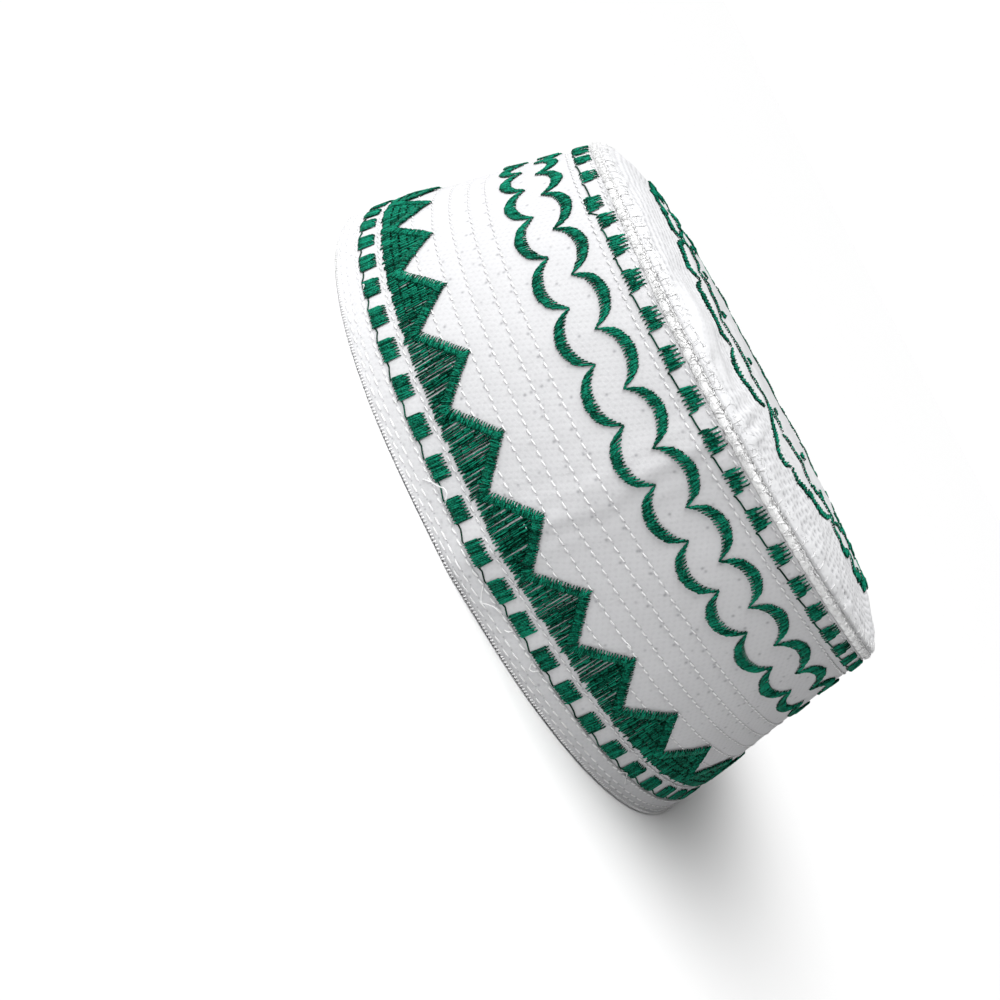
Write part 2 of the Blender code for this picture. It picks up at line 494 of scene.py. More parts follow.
class CrownSurface(SewnSurface):
    """The crown, unrolled: along is measured on the seam, and height is the distance in from it.

    Its relief is in millimetres. The puff is a smooth place beside the front crease that no row crosses.
    """

    STATIONS = 2880
    REACH = 60.0
    WIDE_FOLD = 0.40
    SMALL_FOLD = 0.16
    RIM_FOLD = 0.22
    PUFF_PLACE = -23.0
    PUFF_HALF_WIDTH = 13.5
    PUFF_TOP = 11.5
    PUFF_HEIGHT = 0.80
    PINCH_HEIGHT = 0.42
    PINCH_PITCH = 5.6
    GROOVE_DEPTH = 0.46
    GROOVE_WIDTH = 0.36
    GROOVE_LEAST = 0.14

    def __init__(self, form: CapForm, rows: Sequence[StitchRow]) -> None:
        """Measures the way round the seam.

        Args:
            form: The cap's shape.
            rows: The rows of quilting that pull the cloth in.
        """
        self.form = form
        self.rows = tuple(sorted(rows, key=lambda row: row.height))
        self.angles = np.linspace(-math.pi, math.pi, self.STATIONS + 1)
        points = form.band_point(self.angles, form.seam_height)
        way = np.concatenate([[0.0], np.cumsum(np.linalg.norm(np.diff(points, axis=0), axis=1))])
        self.ring = float(way[-1]) / MM
        self.way = way / MM - self.ring / 2.0
        self.wide_folds = SoftNoise(21, self.ring, 16.0, 40.0)
        self.small_folds = SoftNoise(22, self.ring, 5.0, 11.0)

    def angle(self, along: Array) -> Array:
        """Angles from the front at distances round the seam."""
        return np.interp(wrapped(along, self.ring), self.way, self.angles)

    def ground(self, along: Array, height: Array) -> Array:
        """Points of the smooth crown in metres."""
        angle = self.angle(along)
        rim = self.form.wall_radius(angle, 1.0) - self.form.crown_rim_inset
        return self.form.crown_point(angle, 1.0 - as_array(height) * MM / rim)

    def outward(self, along: Array, height: Array) -> Array:
        """Directions that point out of the crown, also at its rim and middle."""
        return super().outward(along, np.clip(height, 2.0 * self.probe, self.REACH))

    def relief(self, along: Array, height: Array) -> Array:
        """Puffs of the padded cloth, and the short grooves that the stitches pull into it.

        Args:
            along: Distances round the seam in millimetres.
            height: Distances in from the seam in millimetres.

        Returns:
            How far the cloth stands out from the smooth crown, in millimetres.
        """
        along, height = np.broadcast_arrays(as_array(along), as_array(height))
        away = np.clip(height / 3.0, 0.0, 1.0) * np.clip((self.REACH - height) / 20.0, 0.25, 1.0)
        small_fold = self.SMALL_FOLD + self.RIM_FOLD * bump_at(height - 2.5, 2.5)
        folds = self.WIDE_FOLD * self.wide_folds.at(along, height)
        total = (folds + small_fold * self.small_folds.at(along, height)) * away
        total = total + self.loose_puff(along, height) + self.pinch(along, height)
        return total - self.groove(along, height)

    def loose_share(self, along: Array, height: Array) -> Array:
        """How far a place belongs to the smooth puff, 0 to 1."""
        away = np.abs(wrapped(along, self.ring) - self.PUFF_PLACE) - self.PUFF_HALF_WIDTH
        return 1.0 / (1.0 + np.exp(away / 1.2)) / (1.0 + np.exp((height - self.PUFF_TOP) / 1.0))

    def loose_puff(self, along: Array, height: Array) -> Array:
        """How far the smooth puff stands out."""
        across = np.sin(math.pi * np.clip(height / 13.0, 0.0, 1.0))
        return self.PUFF_HEIGHT * bump_at(wrapped(along, self.ring) - self.PUFF_PLACE, 11.0) * across

    def pinch(self, along: Array, height: Array) -> Array:
        """Upright folds at the front, where the crown is gathered into the seam.

        Args:
            along: Distances round the seam in millimetres.
            height: Distances in from the seam in millimetres.

        Returns:
            How far they stand out, in millimetres.
        """
        near = wrapped(along, self.ring)
        fade = np.clip(height / 2.5, 0.0, 1.0) * bump_at(height - 4.0, 9.0)
        folds = np.sin(math.tau * (near + 0.08 * height) / self.PINCH_PITCH + 0.6)
        return self.PINCH_HEIGHT * bump_at(near - 1.5, 7.0) * fade * folds

    def groove(self, along: Array, height: Array) -> Array:
        """Depth of the grooves under the rows of stitches.

        Args:
            along: Distances round the seam in millimetres.
            height: Distances in from the seam in millimetres.

        Returns:
            Depths in millimetres, deepest in the middle of each stitch.
        """
        depth = np.zeros(np.broadcast(along, height).shape)
        for row in self.rows:
            shown = np.clip(0.35 + 1.6 * row.swing(along, self.ring), 0.0, 1.0)
            dash = self.GROOVE_LEAST + (1.0 - self.GROOVE_LEAST) * shown
            depth = depth + self.GROOVE_DEPTH * dash * bump_at(height - row.height, self.GROOVE_WIDTH)
        return depth * (1.0 - self.loose_share(along, height))


@dataclass
class PlainMesh:
    """Vertices and faces of one piece before it becomes a Blender mesh."""

    points: Array
    faces: list[Array]
    uv: list[Array] | None = None
    values: dict[str, Array] = field(default_factory=dict)

    def piece(self, name: str) -> Piece:
        """Makes the object.

        Args:
            name: Name of the piece.

        Returns:
            The object, linked to the scene, at the origin.
        """
        mesh = bpy.data.meshes.new(name)
        loops = np.concatenate([block.reshape(-1) for block in self.faces]).astype(np.int32)
        totals = np.concatenate([np.full(len(block), block.shape[1]) for block in self.faces])
        starts = np.concatenate([[0], np.cumsum(totals)[:-1]])
        mesh.vertices.add(len(self.points))
        mesh.vertices.foreach_set("co", self.points.astype(np.float32).reshape(-1))
        mesh.loops.add(len(loops))
        mesh.loops.foreach_set("vertex_index", loops)
        mesh.polygons.add(len(totals))
        mesh.polygons.foreach_set("loop_start", starts.astype(np.int32))
        mesh.polygons.foreach_set("loop_total", totals.astype(np.int32))
        if self.uv is not None:
            layer = mesh.uv_layers.new(name="pattern")
            values = np.concatenate([block.reshape(-1) for block in self.uv])
            layer.data.foreach_set("uv", values.astype(np.float32))
        for key, value in self.values.items():
            mesh.attributes.new(key, "FLOAT", "POINT").data.foreach_set("value", value.astype(np.float32))
        mesh.update()
        mesh.validate()
        mesh.shade_smooth()
        piece = bpy.data.objects.new(name, mesh)
        bpy.context.scene.collection.objects.link(piece)
        return piece


def ring_strip(low: Array, high: Array, flip: bool = False) -> Array:
    """Faces between two rings of vertices that each close on themselves.

    Args:
        low: The first ring's vertex numbers.
        high: The second ring's, as many or half as many.
        flip: Whether the faces look the other way.

    Returns:
        Vertex numbers of quads, or of triangles where the number of vertices changes.
    """
    ahead = np.roll(high, -1)
    if len(low) == len(high):
        faces = np.stack([low, np.roll(low, -1), ahead, high], -1)
    else:
        first, middle, last = low[::2], low[1::2], np.roll(low[::2], -1)
        corners = [first, middle, high, middle, ahead, high, middle, last, ahead]
        faces = np.stack(corners, -1).reshape(-1, 3)
    return faces[:, ::-1] if flip else faces


def ring_fan(ring: Array, middle: int, flip: bool) -> Array:
    """Triangles from a ring of vertices to the one in its middle. Flipped, they look the other way."""
    faces = np.stack([ring, np.roll(ring, -1), np.full(len(ring), middle)], -1)
    return faces[:, [1, 0, 2]] if flip else faces


def ring_mesh(points: Array, share: Array, rise: Array, values: dict[str, float]) -> PlainMesh:
    """Makes a closed mesh of rings, with pattern coordinates that have no smear at the join.

    Args:
        points: Points in metres, ring by ring; the last ring joins the first.
        share: Share of the way round for each column, 0 to 1.
        rise: The other pattern coordinate for each ring.
        values: What every vertex carries for the material, by name.

    Returns:
        The mesh.
    """
    rings, columns = points.shape[:2]
    numbers = np.arange(rings * columns).reshape(rings, columns)
    quads = np.concatenate([ring_strip(*pair) for pair in zip(numbers, np.roll(numbers, -1, axis=0))])
    way = np.tile(share, rings)[quads]
    way[(quads[:, 0] % columns) == columns - 1, 1:3] = 1.0
    uv = np.stack([way, np.repeat(rise, columns)[quads]], -1)
    carried = {name: np.full(rings * columns, value) for name, value in values.items()}
    return PlainMesh(points.reshape(-1, 3), [quads], [uv], carried)


class Strands:
    """Collects lengths of thread on one surface and makes one mesh of them."""

    PLY = 0.55

    def __init__(self, surface: SewnSurface, seed: int, sides: int = 4, side_dark: float = 0.0) -> None:
        """Starts an empty collection.

        Args:
            surface: The cloth that the threads lie on.
            seed: Seed of the small differences between threads.
            sides: Number of sides of each thread.
            side_dark: How much light the thread's sides lose beside its top.
        """
        self.surface = surface
        self.rng = np.random.default_rng(seed)
        self.sides = sides
        self.side_dark = side_dark
        self.blocks: list[dict[str, Array]] = []

    def add(
        self,
        along: Array,
        height: Array,
        lift: Array,
        width: Array | float,
        shade: Array,
        flatness: float = 0.8,
    ) -> None:
        """Adds threads with as many points each.

        Args:
            along: Distances round the cap, one row for each thread.
            height: Heights on the pattern, one row for each thread.
            lift: Heights of the thread's middle above the cloth.
            width: Thickness across the cloth, in millimetres.
            shade: How much light reaches each point, 0 to 1.
            flatness: Thickness out of the cloth as a share of the width.
        """
        along, height, lift, width, shade = np.broadcast_arrays(along, height, lift, width, shade)
        tint = np.broadcast_to(self.rng.random((len(along), 1)) ** 1.4, along.shape)
        block = {"along": along, "height": height, "lift": lift, "width": width, "shade": shade, "tint": tint}
        block["flat"] = np.full(along.shape, flatness)
        self.blocks.append({key: as_array(value) for key, value in block.items()})

    def mesh(self) -> PlainMesh:
        """Wraps every thread onto the cloth as a tube of few sides.

        Returns:
            One mesh of all the threads, which carries their tint, shade and twist.
        """
        points, quads, caps = [], [], []
        values: dict[str, list[Array]] = {"tint": [], "shade": [], "twist": []}
        turn = math.tau * (np.arange(self.sides) / self.sides) + math.pi / 2.0
        # Painted shade on the thread's sides beside its top.
        side_light = 1.0 - self.side_dark * np.clip((1.0 - np.sin(turn)) / 1.5, 0.0, 1.0)
        start = 0
        for block in self.blocks:
            center, normal = self.surface.lay(block["along"], block["height"], block["lift"])
            points.append(self.tubes(block, center, normal, turn).reshape(-1, 3))
            steps = np.linalg.norm(np.diff(center, axis=1), axis=2)
            way = np.concatenate([np.zeros((len(center), 1)), np.cumsum(steps, axis=1) / MM], axis=1)
            spin = way[:, :, None] / self.PLY + (np.arange(self.sides) / self.sides)[None, None, :]
            values["twist"].append(spin.reshape(-1))
            values["tint"].append(np.repeat(block["tint"].reshape(-1), self.sides))
            values["shade"].append((block["shade"][..., None] * side_light).reshape(-1))
            block_quads, block_caps = self.tube_faces(start, *center.shape[:2])
            quads.append(block_quads)
            caps.append(block_caps)
            start += len(points[-1])
        joined = {key: np.concatenate(value) for key, value in values.items()}
        faces = [np.concatenate(quads), np.concatenate(caps)]
        return PlainMesh(np.concatenate(points), faces, None, joined)

    def tubes(self, block: dict[str, Array], center: Array, normal: Array, turn: Array) -> Array:
        """Points round the middle line of each thread.

        Args:
            block: The threads' widths and flatness.
            center: Their middle lines.
            normal: Directions out of the cloth there.
            turn: Angle of each side of the tube.

        Returns:
            Points in metres, by thread, place and side.
        """
        tangent = unit(np.gradient(center, axis=1))
        side = unit(np.cross(tangent, normal))
        up = unit(np.cross(side, tangent))
        half = (block["width"] * MM / 2.0)[..., None, None]
        across = side[:, :, None, :] * np.cos(turn)[None, None, :, None] * half
        out = up[:, :, None, :] * np.sin(turn)[None, None, :, None] * half * block["flat"][..., None, None]
        return center[:, :, None, :] + across + out

    def tube_faces(self, start: int, count: int, length: int) -> tuple[Array, Array]:
        """Faces of a block of tubes.

        Args:
            start: Number of the first vertex.
            count: Number of tubes.
            length: Places along each.

        Returns:
            The quads of the sides, and the faces that close the ends.
        """
        base = start + (np.arange(count)[:, None, None] * length) * self.sides
        ring = np.arange(length - 1)[None, :, None] * self.sides
        corner = np.arange(self.sides)[None, None, :]
        after = (corner + 1) % self.sides
        low = base + ring
        quad = [low + corner, low + self.sides + corner, low + self.sides + after, low + after]
        quads = np.stack(np.broadcast_arrays(*quad), -1).reshape(-1, 4)
        first = base[:, 0] + np.arange(self.sides)[None, :]
        last = base[:, 0] + (length - 1) * self.sides + np.arange(self.sides)[None, ::-1]
        return quads, np.concatenate([first, last])


@dataclass(frozen=True)
class Stitch:
    """How the thread of one kind of stitch lies, in millimetres.

    The lift is the height of its ends above the cloth, and the arch is how much higher its middle stands. The
    jitter is the spread of its needle holes. The light is how much of it reaches the middle, 0 to 1, and the
    flatness is the thickness out of the cloth as a share of the width.
    """

    width: float
    lift: float
    arch: float
    jitter: float = 0.07
    light: float = 1.0
    flatness: float = 0.8


class SatinStrands(Strands):
    """Threads that are laid as rows of satin stitches between outlines on the pattern."""

    HOLE = 0.40
    HOLE_LIGHT = 0.15
    HOLE_WIDTH = 0.62
    FULL_DEPTH = 2.5

    def strokes(self, start: Array, end: Array, stitch: Stitch) -> None:
        """Adds straight stitches from one needle hole to another.

        Args:
            start: First holes, one row of along and height for each stitch.
            end: Second holes.
            stitch: How the thread lies.
        """
        rng = self.rng
        start = start + rng.normal(0.0, stitch.jitter, start.shape) * [0.6, 1.0]
        end = end + rng.normal(0.0, stitch.jitter, end.shape) * [0.6, 1.0]
        length = np.maximum(np.linalg.norm(end - start, axis=1, keepdims=True), 0.05)
        near = np.clip(self.HOLE / length, 0.05, 0.30)
        share = np.concatenate([0.0 * near, near, 1.0 - near, 0.0 * near + 1.0], axis=1)
        along = start[:, :1] * (1.0 - share) + end[:, :1] * share
        height = start[:, 1:] * (1.0 - share) + end[:, 1:] * share
        hump = as_array([[0.0, 1.0, 1.0, 0.0]])
        rise = stitch.lift + stitch.arch * hump + rng.normal(0.0, 0.04, (len(start), 1))
        thick = stitch.width * (self.HOLE_WIDTH + (1.0 - self.HOLE_WIDTH) * hump)
        thick = thick * (1.0 + rng.normal(0.0, 0.08, (len(start), 1)))
        # Painted shade where the thread goes into its needle holes.
        shade = stitch.light * (self.HOLE_LIGHT + (1.0 - self.HOLE_LIGHT) * hump)
        self.add(along, height, rise, thick, shade, stitch.flatness)

    def zigzag(
        self,
        lines: tuple[Line, Line],
        ends: Pair,
        tooth: float,
        lean: Line,
        stitch: Stitch,
        shortest: float = 0.5,
        ragged: Pair = (0.0, 0.0),
    ) -> None:
        """Fills the space between two lines with a thread that goes up and down.

        Args:
            lines: Heights of the lower and of the upper line at each distance along.
            ends: Where the filling starts and ends.
            tooth: Length of one up and down.
            lean: How far the thread leans along the row for each millimetre up.
            stitch: How the thread lies.
            shortest: Stitches shorter than this are left out.
            ragged: How far every second hole of the lower and of the upper line is drawn back.
        """
        low, high = lines
        count = max(1, round((ends[1] - ends[0]) / tooth))
        half = np.linspace(*ends, 2 * count + 1)
        below, above = low(half), high(half)
        offset = 0.5 * (above - below) * lean(half)
        low_place = np.clip(half - offset, *ends)
        high_place = np.clip(half + offset, *ends)
        number = np.arange(len(half))
        depth = np.clip((above - below) / self.FULL_DEPTH, 0.0, 1.0)
        depth = depth * self.rng.uniform(0.55, 1.30, half.shape)
        low_rise = low(low_place) + ragged[0] * depth * (number % 4 == 0)
        high_rise = high(high_place) - ragged[1] * depth * (number % 4 == 1)
        even = (number % 2 == 0)[:, None]
        holes = np.where(even, np.stack([low_place, low_rise], -1), np.stack([high_place, high_rise], -1))
        start, end = holes[:-1], holes[1:]
        keep = np.abs(end[:, 1] - start[:, 1]) > shortest
        self.strokes(start[keep], end[keep], stitch)


def drift(slips: Pairs, ring: float) -> Line:
    """How far a sewn row has slipped along from even spacing.

    Args:
        slips: Pairs of a place along the row and the slip there, in order.
        ring: Length of the row.

    Returns:
        A function from places to places with the slip added.
    """
    places, slipped = columns_of(slips)

    def moved(along: Array) -> Array:
        """Places with the slip added."""
        return as_array(along) + np.interp(wrapped(along, ring), places, slipped, left=0.0, right=0.0)

    return moved


@dataclass(frozen=True)
class DashRow:
    """A row of short satin blocks that one thin thread links, closed by one low and one narrow block."""

    low: float
    high: float
    phase: float
    link: Pairs
    slips: Pairs
    count: int = 54
    length: float = 6.4
    tooth: float = 0.40
    ragged: Pair = (0.35, 0.95)
    lean: float = 0.06
    stitch: Stitch = Stitch(0.46, 0.12, 0.30, 0.10)
    link_width: float = 0.50
    link_light: float = 0.30
    closes: bool = False
    low_block: float = -72.0
    block_drop: float = 1.5
    narrow_block: float = -63.7
    narrow_half: float = 2.6
    block_reach: float = 3.0

    def sew(self, satin: SatinStrands, links: Strands) -> None:
        """Sews the blocks and their links.

        Args:
            satin: Sews the blocks.
            links: Collects the linking threads.
        """
        ring = satin.surface.ring
        moved = drift(self.slips, ring)
        middles = moved(self.phase + ring / self.count * np.arange(-self.count // 2 + 1, self.count // 2 + 1))
        for index, middle in enumerate(middles):
            drop, half = 0.0, self.length / 2.0
            if self.closes and abs(middle - self.low_block) < self.block_reach:
                drop = self.block_drop
            if self.closes and abs(middle - self.narrow_block) < self.block_reach:
                half = self.narrow_half
            lines = (level_line(self.low - drop), level_line(self.high - drop))
            ends = (middle - half, middle + half)
            satin.zigzag(lines, ends, self.tooth, level_line(self.lean), self.stitch, ragged=self.ragged)
            after = middles[(index + 1) % len(middles)]
            if index == len(middles) - 1:
                after = after + ring
            self.sew_link(links, middle + half, after - half, drop)

    def sew_link(self, links: Strands, start: float, end: float, drop: float) -> None:
        """Adds the thread from one block to the next.

        Args:
            links: Collects the linking threads.
            start: Where the first block ends.
            end: Where the next one starts.
            drop: How much lower the first block sits.
        """
        share, height = columns_of(self.link)
        height = height - drop * (1.0 - share) + links.rng.normal(0.0, 0.05, share.shape)
        along = start + (end - start) * share
        lift = 0.14 + 0.06 * np.sin(math.pi * share)
        light = np.full((1, len(share)), self.link_light)
        links.add(along[None], height[None], lift[None], self.link_width, light)


@dataclass(frozen=True)
class TriangleRow:
    """A row of triangles: upright threads, and satin borders on the two slanted edges."""

    base: float = 13.4
    valley: float = 18.3
    tip: float = 28.5
    phase: float = -0.9
    count: int = 27
    border: float = 2.7
    tooth: float = 0.86
    border_tooth: float = 0.35
    rising_rag: float = 0.95
    falling_rag: float = 0.40
    turning: float = 2.6
    turned_share: float = 0.8
    turned_length: float = 0.25
    levels: tuple[float, ...] = (16.3, 18.6, 21.0, 23.3, 25.4)
    slips: Pairs = (
        (-110.0, 0.0), (-88.3, 0.7), (-66.4, -0.4), (-44.6, -0.8), (-22.8, -0.4),
        (-0.9, 0.0), (20.9, -0.7), (42.8, -1.2), (64.6, -0.6), (86.0, 0.0),
    )
    lean: float = 0.07
    slit_chance: float = 0.34
    slit_half_width: float = 0.30
    border_stitch: Stitch = Stitch(0.42, 0.34, 0.34, 0.12)
    filling_stitch: Stitch = Stitch(0.54, 0.16, 0.16, 0.05, 0.9)
    # Painted shade of the needle holes: short black strokes over the filling.
    hole_shade_stitch: Stitch = Stitch(0.50, 0.52, 0.04, 0.02, 0.0)
    hole_half_length: float = 0.27
    # The underlay is thread laid low, drawn darker as painted shade.
    shaded_underlay_stitch: Stitch = Stitch(0.60, 0.06, 0.03, 0.03, 0.30, 0.2)

    def sew(self, fill: SatinStrands, border: SatinStrands) -> None:
        """Sews the filling of each triangle and then its borders.

        Args:
            fill: Sews the filling.
            border: Sews the borders over it.
        """
        surface = border.surface
        pitch = surface.ring / self.count
        moved = drift(self.slips, surface.ring)
        for index in range(self.count):
            start = float(moved(self.phase + pitch * (index - 0.5)))
            end = float(moved(self.phase + pitch * (index + 0.5)))
            middle = (start + end) / 2.0
            self.sew_fill(fill, middle, (end - start) / 2.0)
            self.sew_border(border, end, middle, self.falling_rag)
            self.sew_border(border, start, middle, self.rising_rag)

    def sew_border(self, satin: SatinStrands, foot: float, top: float, rag: float) -> None:
        """Sews one slanted edge with stitches across it, which turn upright at its ends.

        Args:
            satin: Sews the stitches.
            foot: Place along the row of the edge's low end.
            top: Place of its high end.
            rag: How far every second outer hole is drawn back.
        """
        foot_point = as_array([foot, self.valley])
        edge = as_array([top, self.tip]) - foot_point
        length = float(np.linalg.norm(edge))
        edge = edge / length
        inward = as_array([edge[1], -edge[0]]) * (1.0 if top > foot else -1.0)
        count = 2 * round(length / self.border_tooth) + 1
        way = np.linspace(-0.3, length + 0.1, count)
        upright = np.clip(1.0 - np.minimum(way, length - way) / self.turning, 0.0, 1.0)[:, None]
        down = as_array([0.0, -1.0]) * self.turned_share * upright
        across = unit(inward * (1.0 - self.turned_share * upright) + down)
        outer = foot_point + way[:, None] * edge
        number = np.arange(count)
        back = np.where(number % 4 == 1, rag, -0.10)[:, None]
        inner = outer + across * self.border * (1.0 + self.turned_length * upright)
        holes = np.where((number % 2 == 1)[:, None], outer + across * back, inner)
        satin.strokes(holes[:-1], holes[1:], self.border_stitch)

    def sew_fill(self, satin: SatinStrands, middle: float, half_width: float) -> None:
        """Sews upright threads from the base to the borders, held down at a few levels between.

        Args:
            satin: Sews the stitches.
            middle: Middle of the triangle.
            half_width: Half the length of its base.
        """
        rng = satin.rng
        count = max(2, round(2.0 * half_width / self.tooth))
        place = middle + np.linspace(-half_width, half_width, 2 * count + 1)
        place[1:-1] = place[1:-1] + rng.normal(0.0, 0.06, len(place) - 2)
        slit = rng.random(2 * count + 1) < self.slit_chance
        share = np.clip(np.abs(place - middle) / half_width, 0.0, 1.0)
        top = self.tip - (self.tip - self.valley) * share - self.border * 0.9
        bottom = self.base + rng.normal(0.0, 0.28, place.shape)
        underlay = []
        for index in range(2 * count):
            near = place[index] + self.slit_half_width * slit[index]
            far = place[index + 1] - self.slit_half_width * slit[index + 1]
            low_place, high_place = (near, far) if index % 2 == 0 else (far, near)
            low_hole = bottom[index + index % 2]
            high_hole = min(top[index], top[index + 1])
            stops = [low_hole]
            for number, level in enumerate(self.levels):
                if (index + number) % 2 and low_hole + 1.4 < level < high_hole - 0.9:
                    stops.append(level + rng.normal(0.0, 0.10))
            stops = as_array(stops + [high_hole])
            share = (stops - low_hole) / max(high_hole - low_hole, 0.1)
            places = low_place + (high_place - low_place) * share - self.lean * (stops - low_hole)
            holes = np.stack([places, stops], -1)
            satin.strokes(holes[:-1], holes[1:], self.filling_stitch)
            # Painted shade of the needle holes where the filling is held down, as short black strokes.
            if index % 4 < 2:
                reach = as_array([0.0, self.hole_half_length])
                satin.strokes(holes[1:-1] - reach, holes[1:-1] + reach, self.hole_shade_stitch)
            if not slit[index] and not slit[index + 1] and high_hole > low_hole + 1.5:
                between = (near + far) / 2.0
                high_end = (between - self.lean * (high_hole - low_hole), high_hole)
                underlay.append(((between, low_hole + 0.9), high_end))
        # Underlay strokes between the filling threads, darkened as painted shade.
        ends = as_array(underlay)
        satin.strokes(ends[:, 0], ends[:, 1], self.shaded_underlay_stitch)


@dataclass(frozen=True)
class Scallops:
    """A chain of satin crescents with points between them, bulging up or down on the pattern."""

    count: int
    phase: float
    point: float
    bulge: float
    slips: Pairs = ((0.0, 0.0),)
    tooth: float = 0.39
    scale: float = 1.0
    ragged: float = 0.85
    inner_rag: float = 0.25
    shortest: float = 0.30
    lean: float = 0.07
    turned_share: float = 0.42
    sway: Pairs = ((0.0, 0.0),)
    stitch: Stitch = Stitch(0.44, 0.12, 0.32, 0.09)
    outer: Pairs = (
        (0.0, 0.0), (0.04, 1.9), (0.07, 3.0), (0.12, 4.4),
        (0.18, 5.3), (0.25, 5.9), (0.35, 6.55), (0.5, 6.95),
    )
    inner: Pairs = (
        (0.0, 0.0), (0.035, 0.5), (0.07, 1.1), (0.14, 2.0),
        (0.22, 2.75), (0.32, 3.3), (0.42, 3.6), (0.5, 3.7),
    )

    def line(self, profile: Pairs, start: float, end: float) -> Line:
        """One edge of a crescent.

        Args:
            profile: Shares of the way along it, up to its middle, and how far it stands out there.
            start: Where the crescent starts.
            end: Where it ends.

        Returns:
            A function from places along the row to heights.
        """
        shares, rises = columns_of(profile)
        sway_places, sways = columns_of(self.sway)

        def edge(place: Array) -> Array:
            """Height of the edge at places along the row."""
            way = np.clip((place - start) / (end - start), 0.0, 1.0)
            rise = np.interp(np.minimum(way, 1.0 - way), shares, rises)
            return self.point + np.interp(place, sway_places, sways) + self.bulge * self.scale * rise

        return edge

    def sew(self, satin: SatinStrands) -> None:
        """Sews the whole chain.

        Args:
            satin: Sews the stitches.
        """
        ring = satin.surface.ring
        moved = drift(self.slips, ring)
        points = moved(self.phase + ring / self.count * np.arange(self.count + 1))
        points[-1] = points[0] + ring
        for start, end in zip(points[:-1], points[1:]):
            outer = self.line(self.outer, start, end)
            inner = self.line(self.inner, start, end)

            def lean(place: Array) -> Array:
                """Lean of the stitches, which turn part of the way with the crescent."""
                slope = (outer(place + 0.4) - outer(place - 0.4)) / 0.8
                return np.tan(self.turned_share * np.arctan(slope) + self.lean)

            lines, ragged = (inner, outer), (self.ragged * self.scale, self.inner_rag)
            if self.bulge < 0.0:
                lines, ragged = lines[::-1], ragged[::-1]
            satin.zigzag(lines, (start, end), self.tooth, lean, self.stitch, self.shortest, ragged)


@dataclass(frozen=True)
class LeafRow:
    """A row of small satin leaves that stand apart."""

    height: float
    count: int
    phase: float
    length: float = 3.2
    half_width: float = 1.4
    tooth: float = 0.7
    lean: float = 0.2
    stitch: Stitch = Stitch(0.5, 0.12, 0.3)

    def sew(self, satin: SatinStrands) -> None:
        """Sews the leaves.

        Args:
            satin: Sews the stitches.
        """
        for middle in self.phase + satin.surface.ring / self.count * np.arange(self.count):

            def tip(place: Array) -> Array:
                """Height of the leaf's rounded end at places along the row."""
                return self.height + self.length * (1.0 - ((place - middle) / self.half_width) ** 2)

            ends = (middle - self.half_width, middle + self.half_width)
            satin.zigzag((level_line(self.height), tip), ends, self.tooth, level_line(self.lean), self.stitch)


class RunningStrands(Strands):
    """Threads that are laid as running stitches along rows of a surface."""

    ARCH = 0.10
    DIP = 0.24
    FLATNESS = 0.6

    def sew(self, row: StitchRow, lift: float) -> None:
        """Adds one row.

        Args:
            row: The row's place and stitches.
            lift: Height of the thread's middle above the cloth, in millimetres.
        """
        rng = self.rng
        pitch = self.surface.ring / row.count
        start = row.phase + pitch * np.arange(row.count) - pitch * row.visible / 2.0
        start = start[:, None] + rng.normal(0.0, 0.08, (row.count, 1))
        length = pitch * row.visible * (1.0 + rng.normal(0.0, 0.06, (row.count, 1)))
        share = as_array([[0.0, 0.16, 0.5, 0.84, 1.0]])
        rise = self.ARCH * as_array([[0.0, 0.4, 1.0, 0.4, 0.0]])
        dip = self.DIP * as_array([[-1.0, 0.0, 0.0, 0.0, -1.0]])
        height = row.height + row.tilt * (share - 0.5) + rng.normal(0.0, 0.03, (row.count, 1))
        width = row.width * as_array([[0.65, 1.0, 1.1, 1.0, 0.65]])
        # Painted shade at the stitch ends, where the thread goes into the cloth.
        shade = as_array([[0.3, 1.0, 1.0, 1.0, 0.3]])
        self.add(start + length * share, height, lift + rise + dip, width, shade, self.FLATNESS)


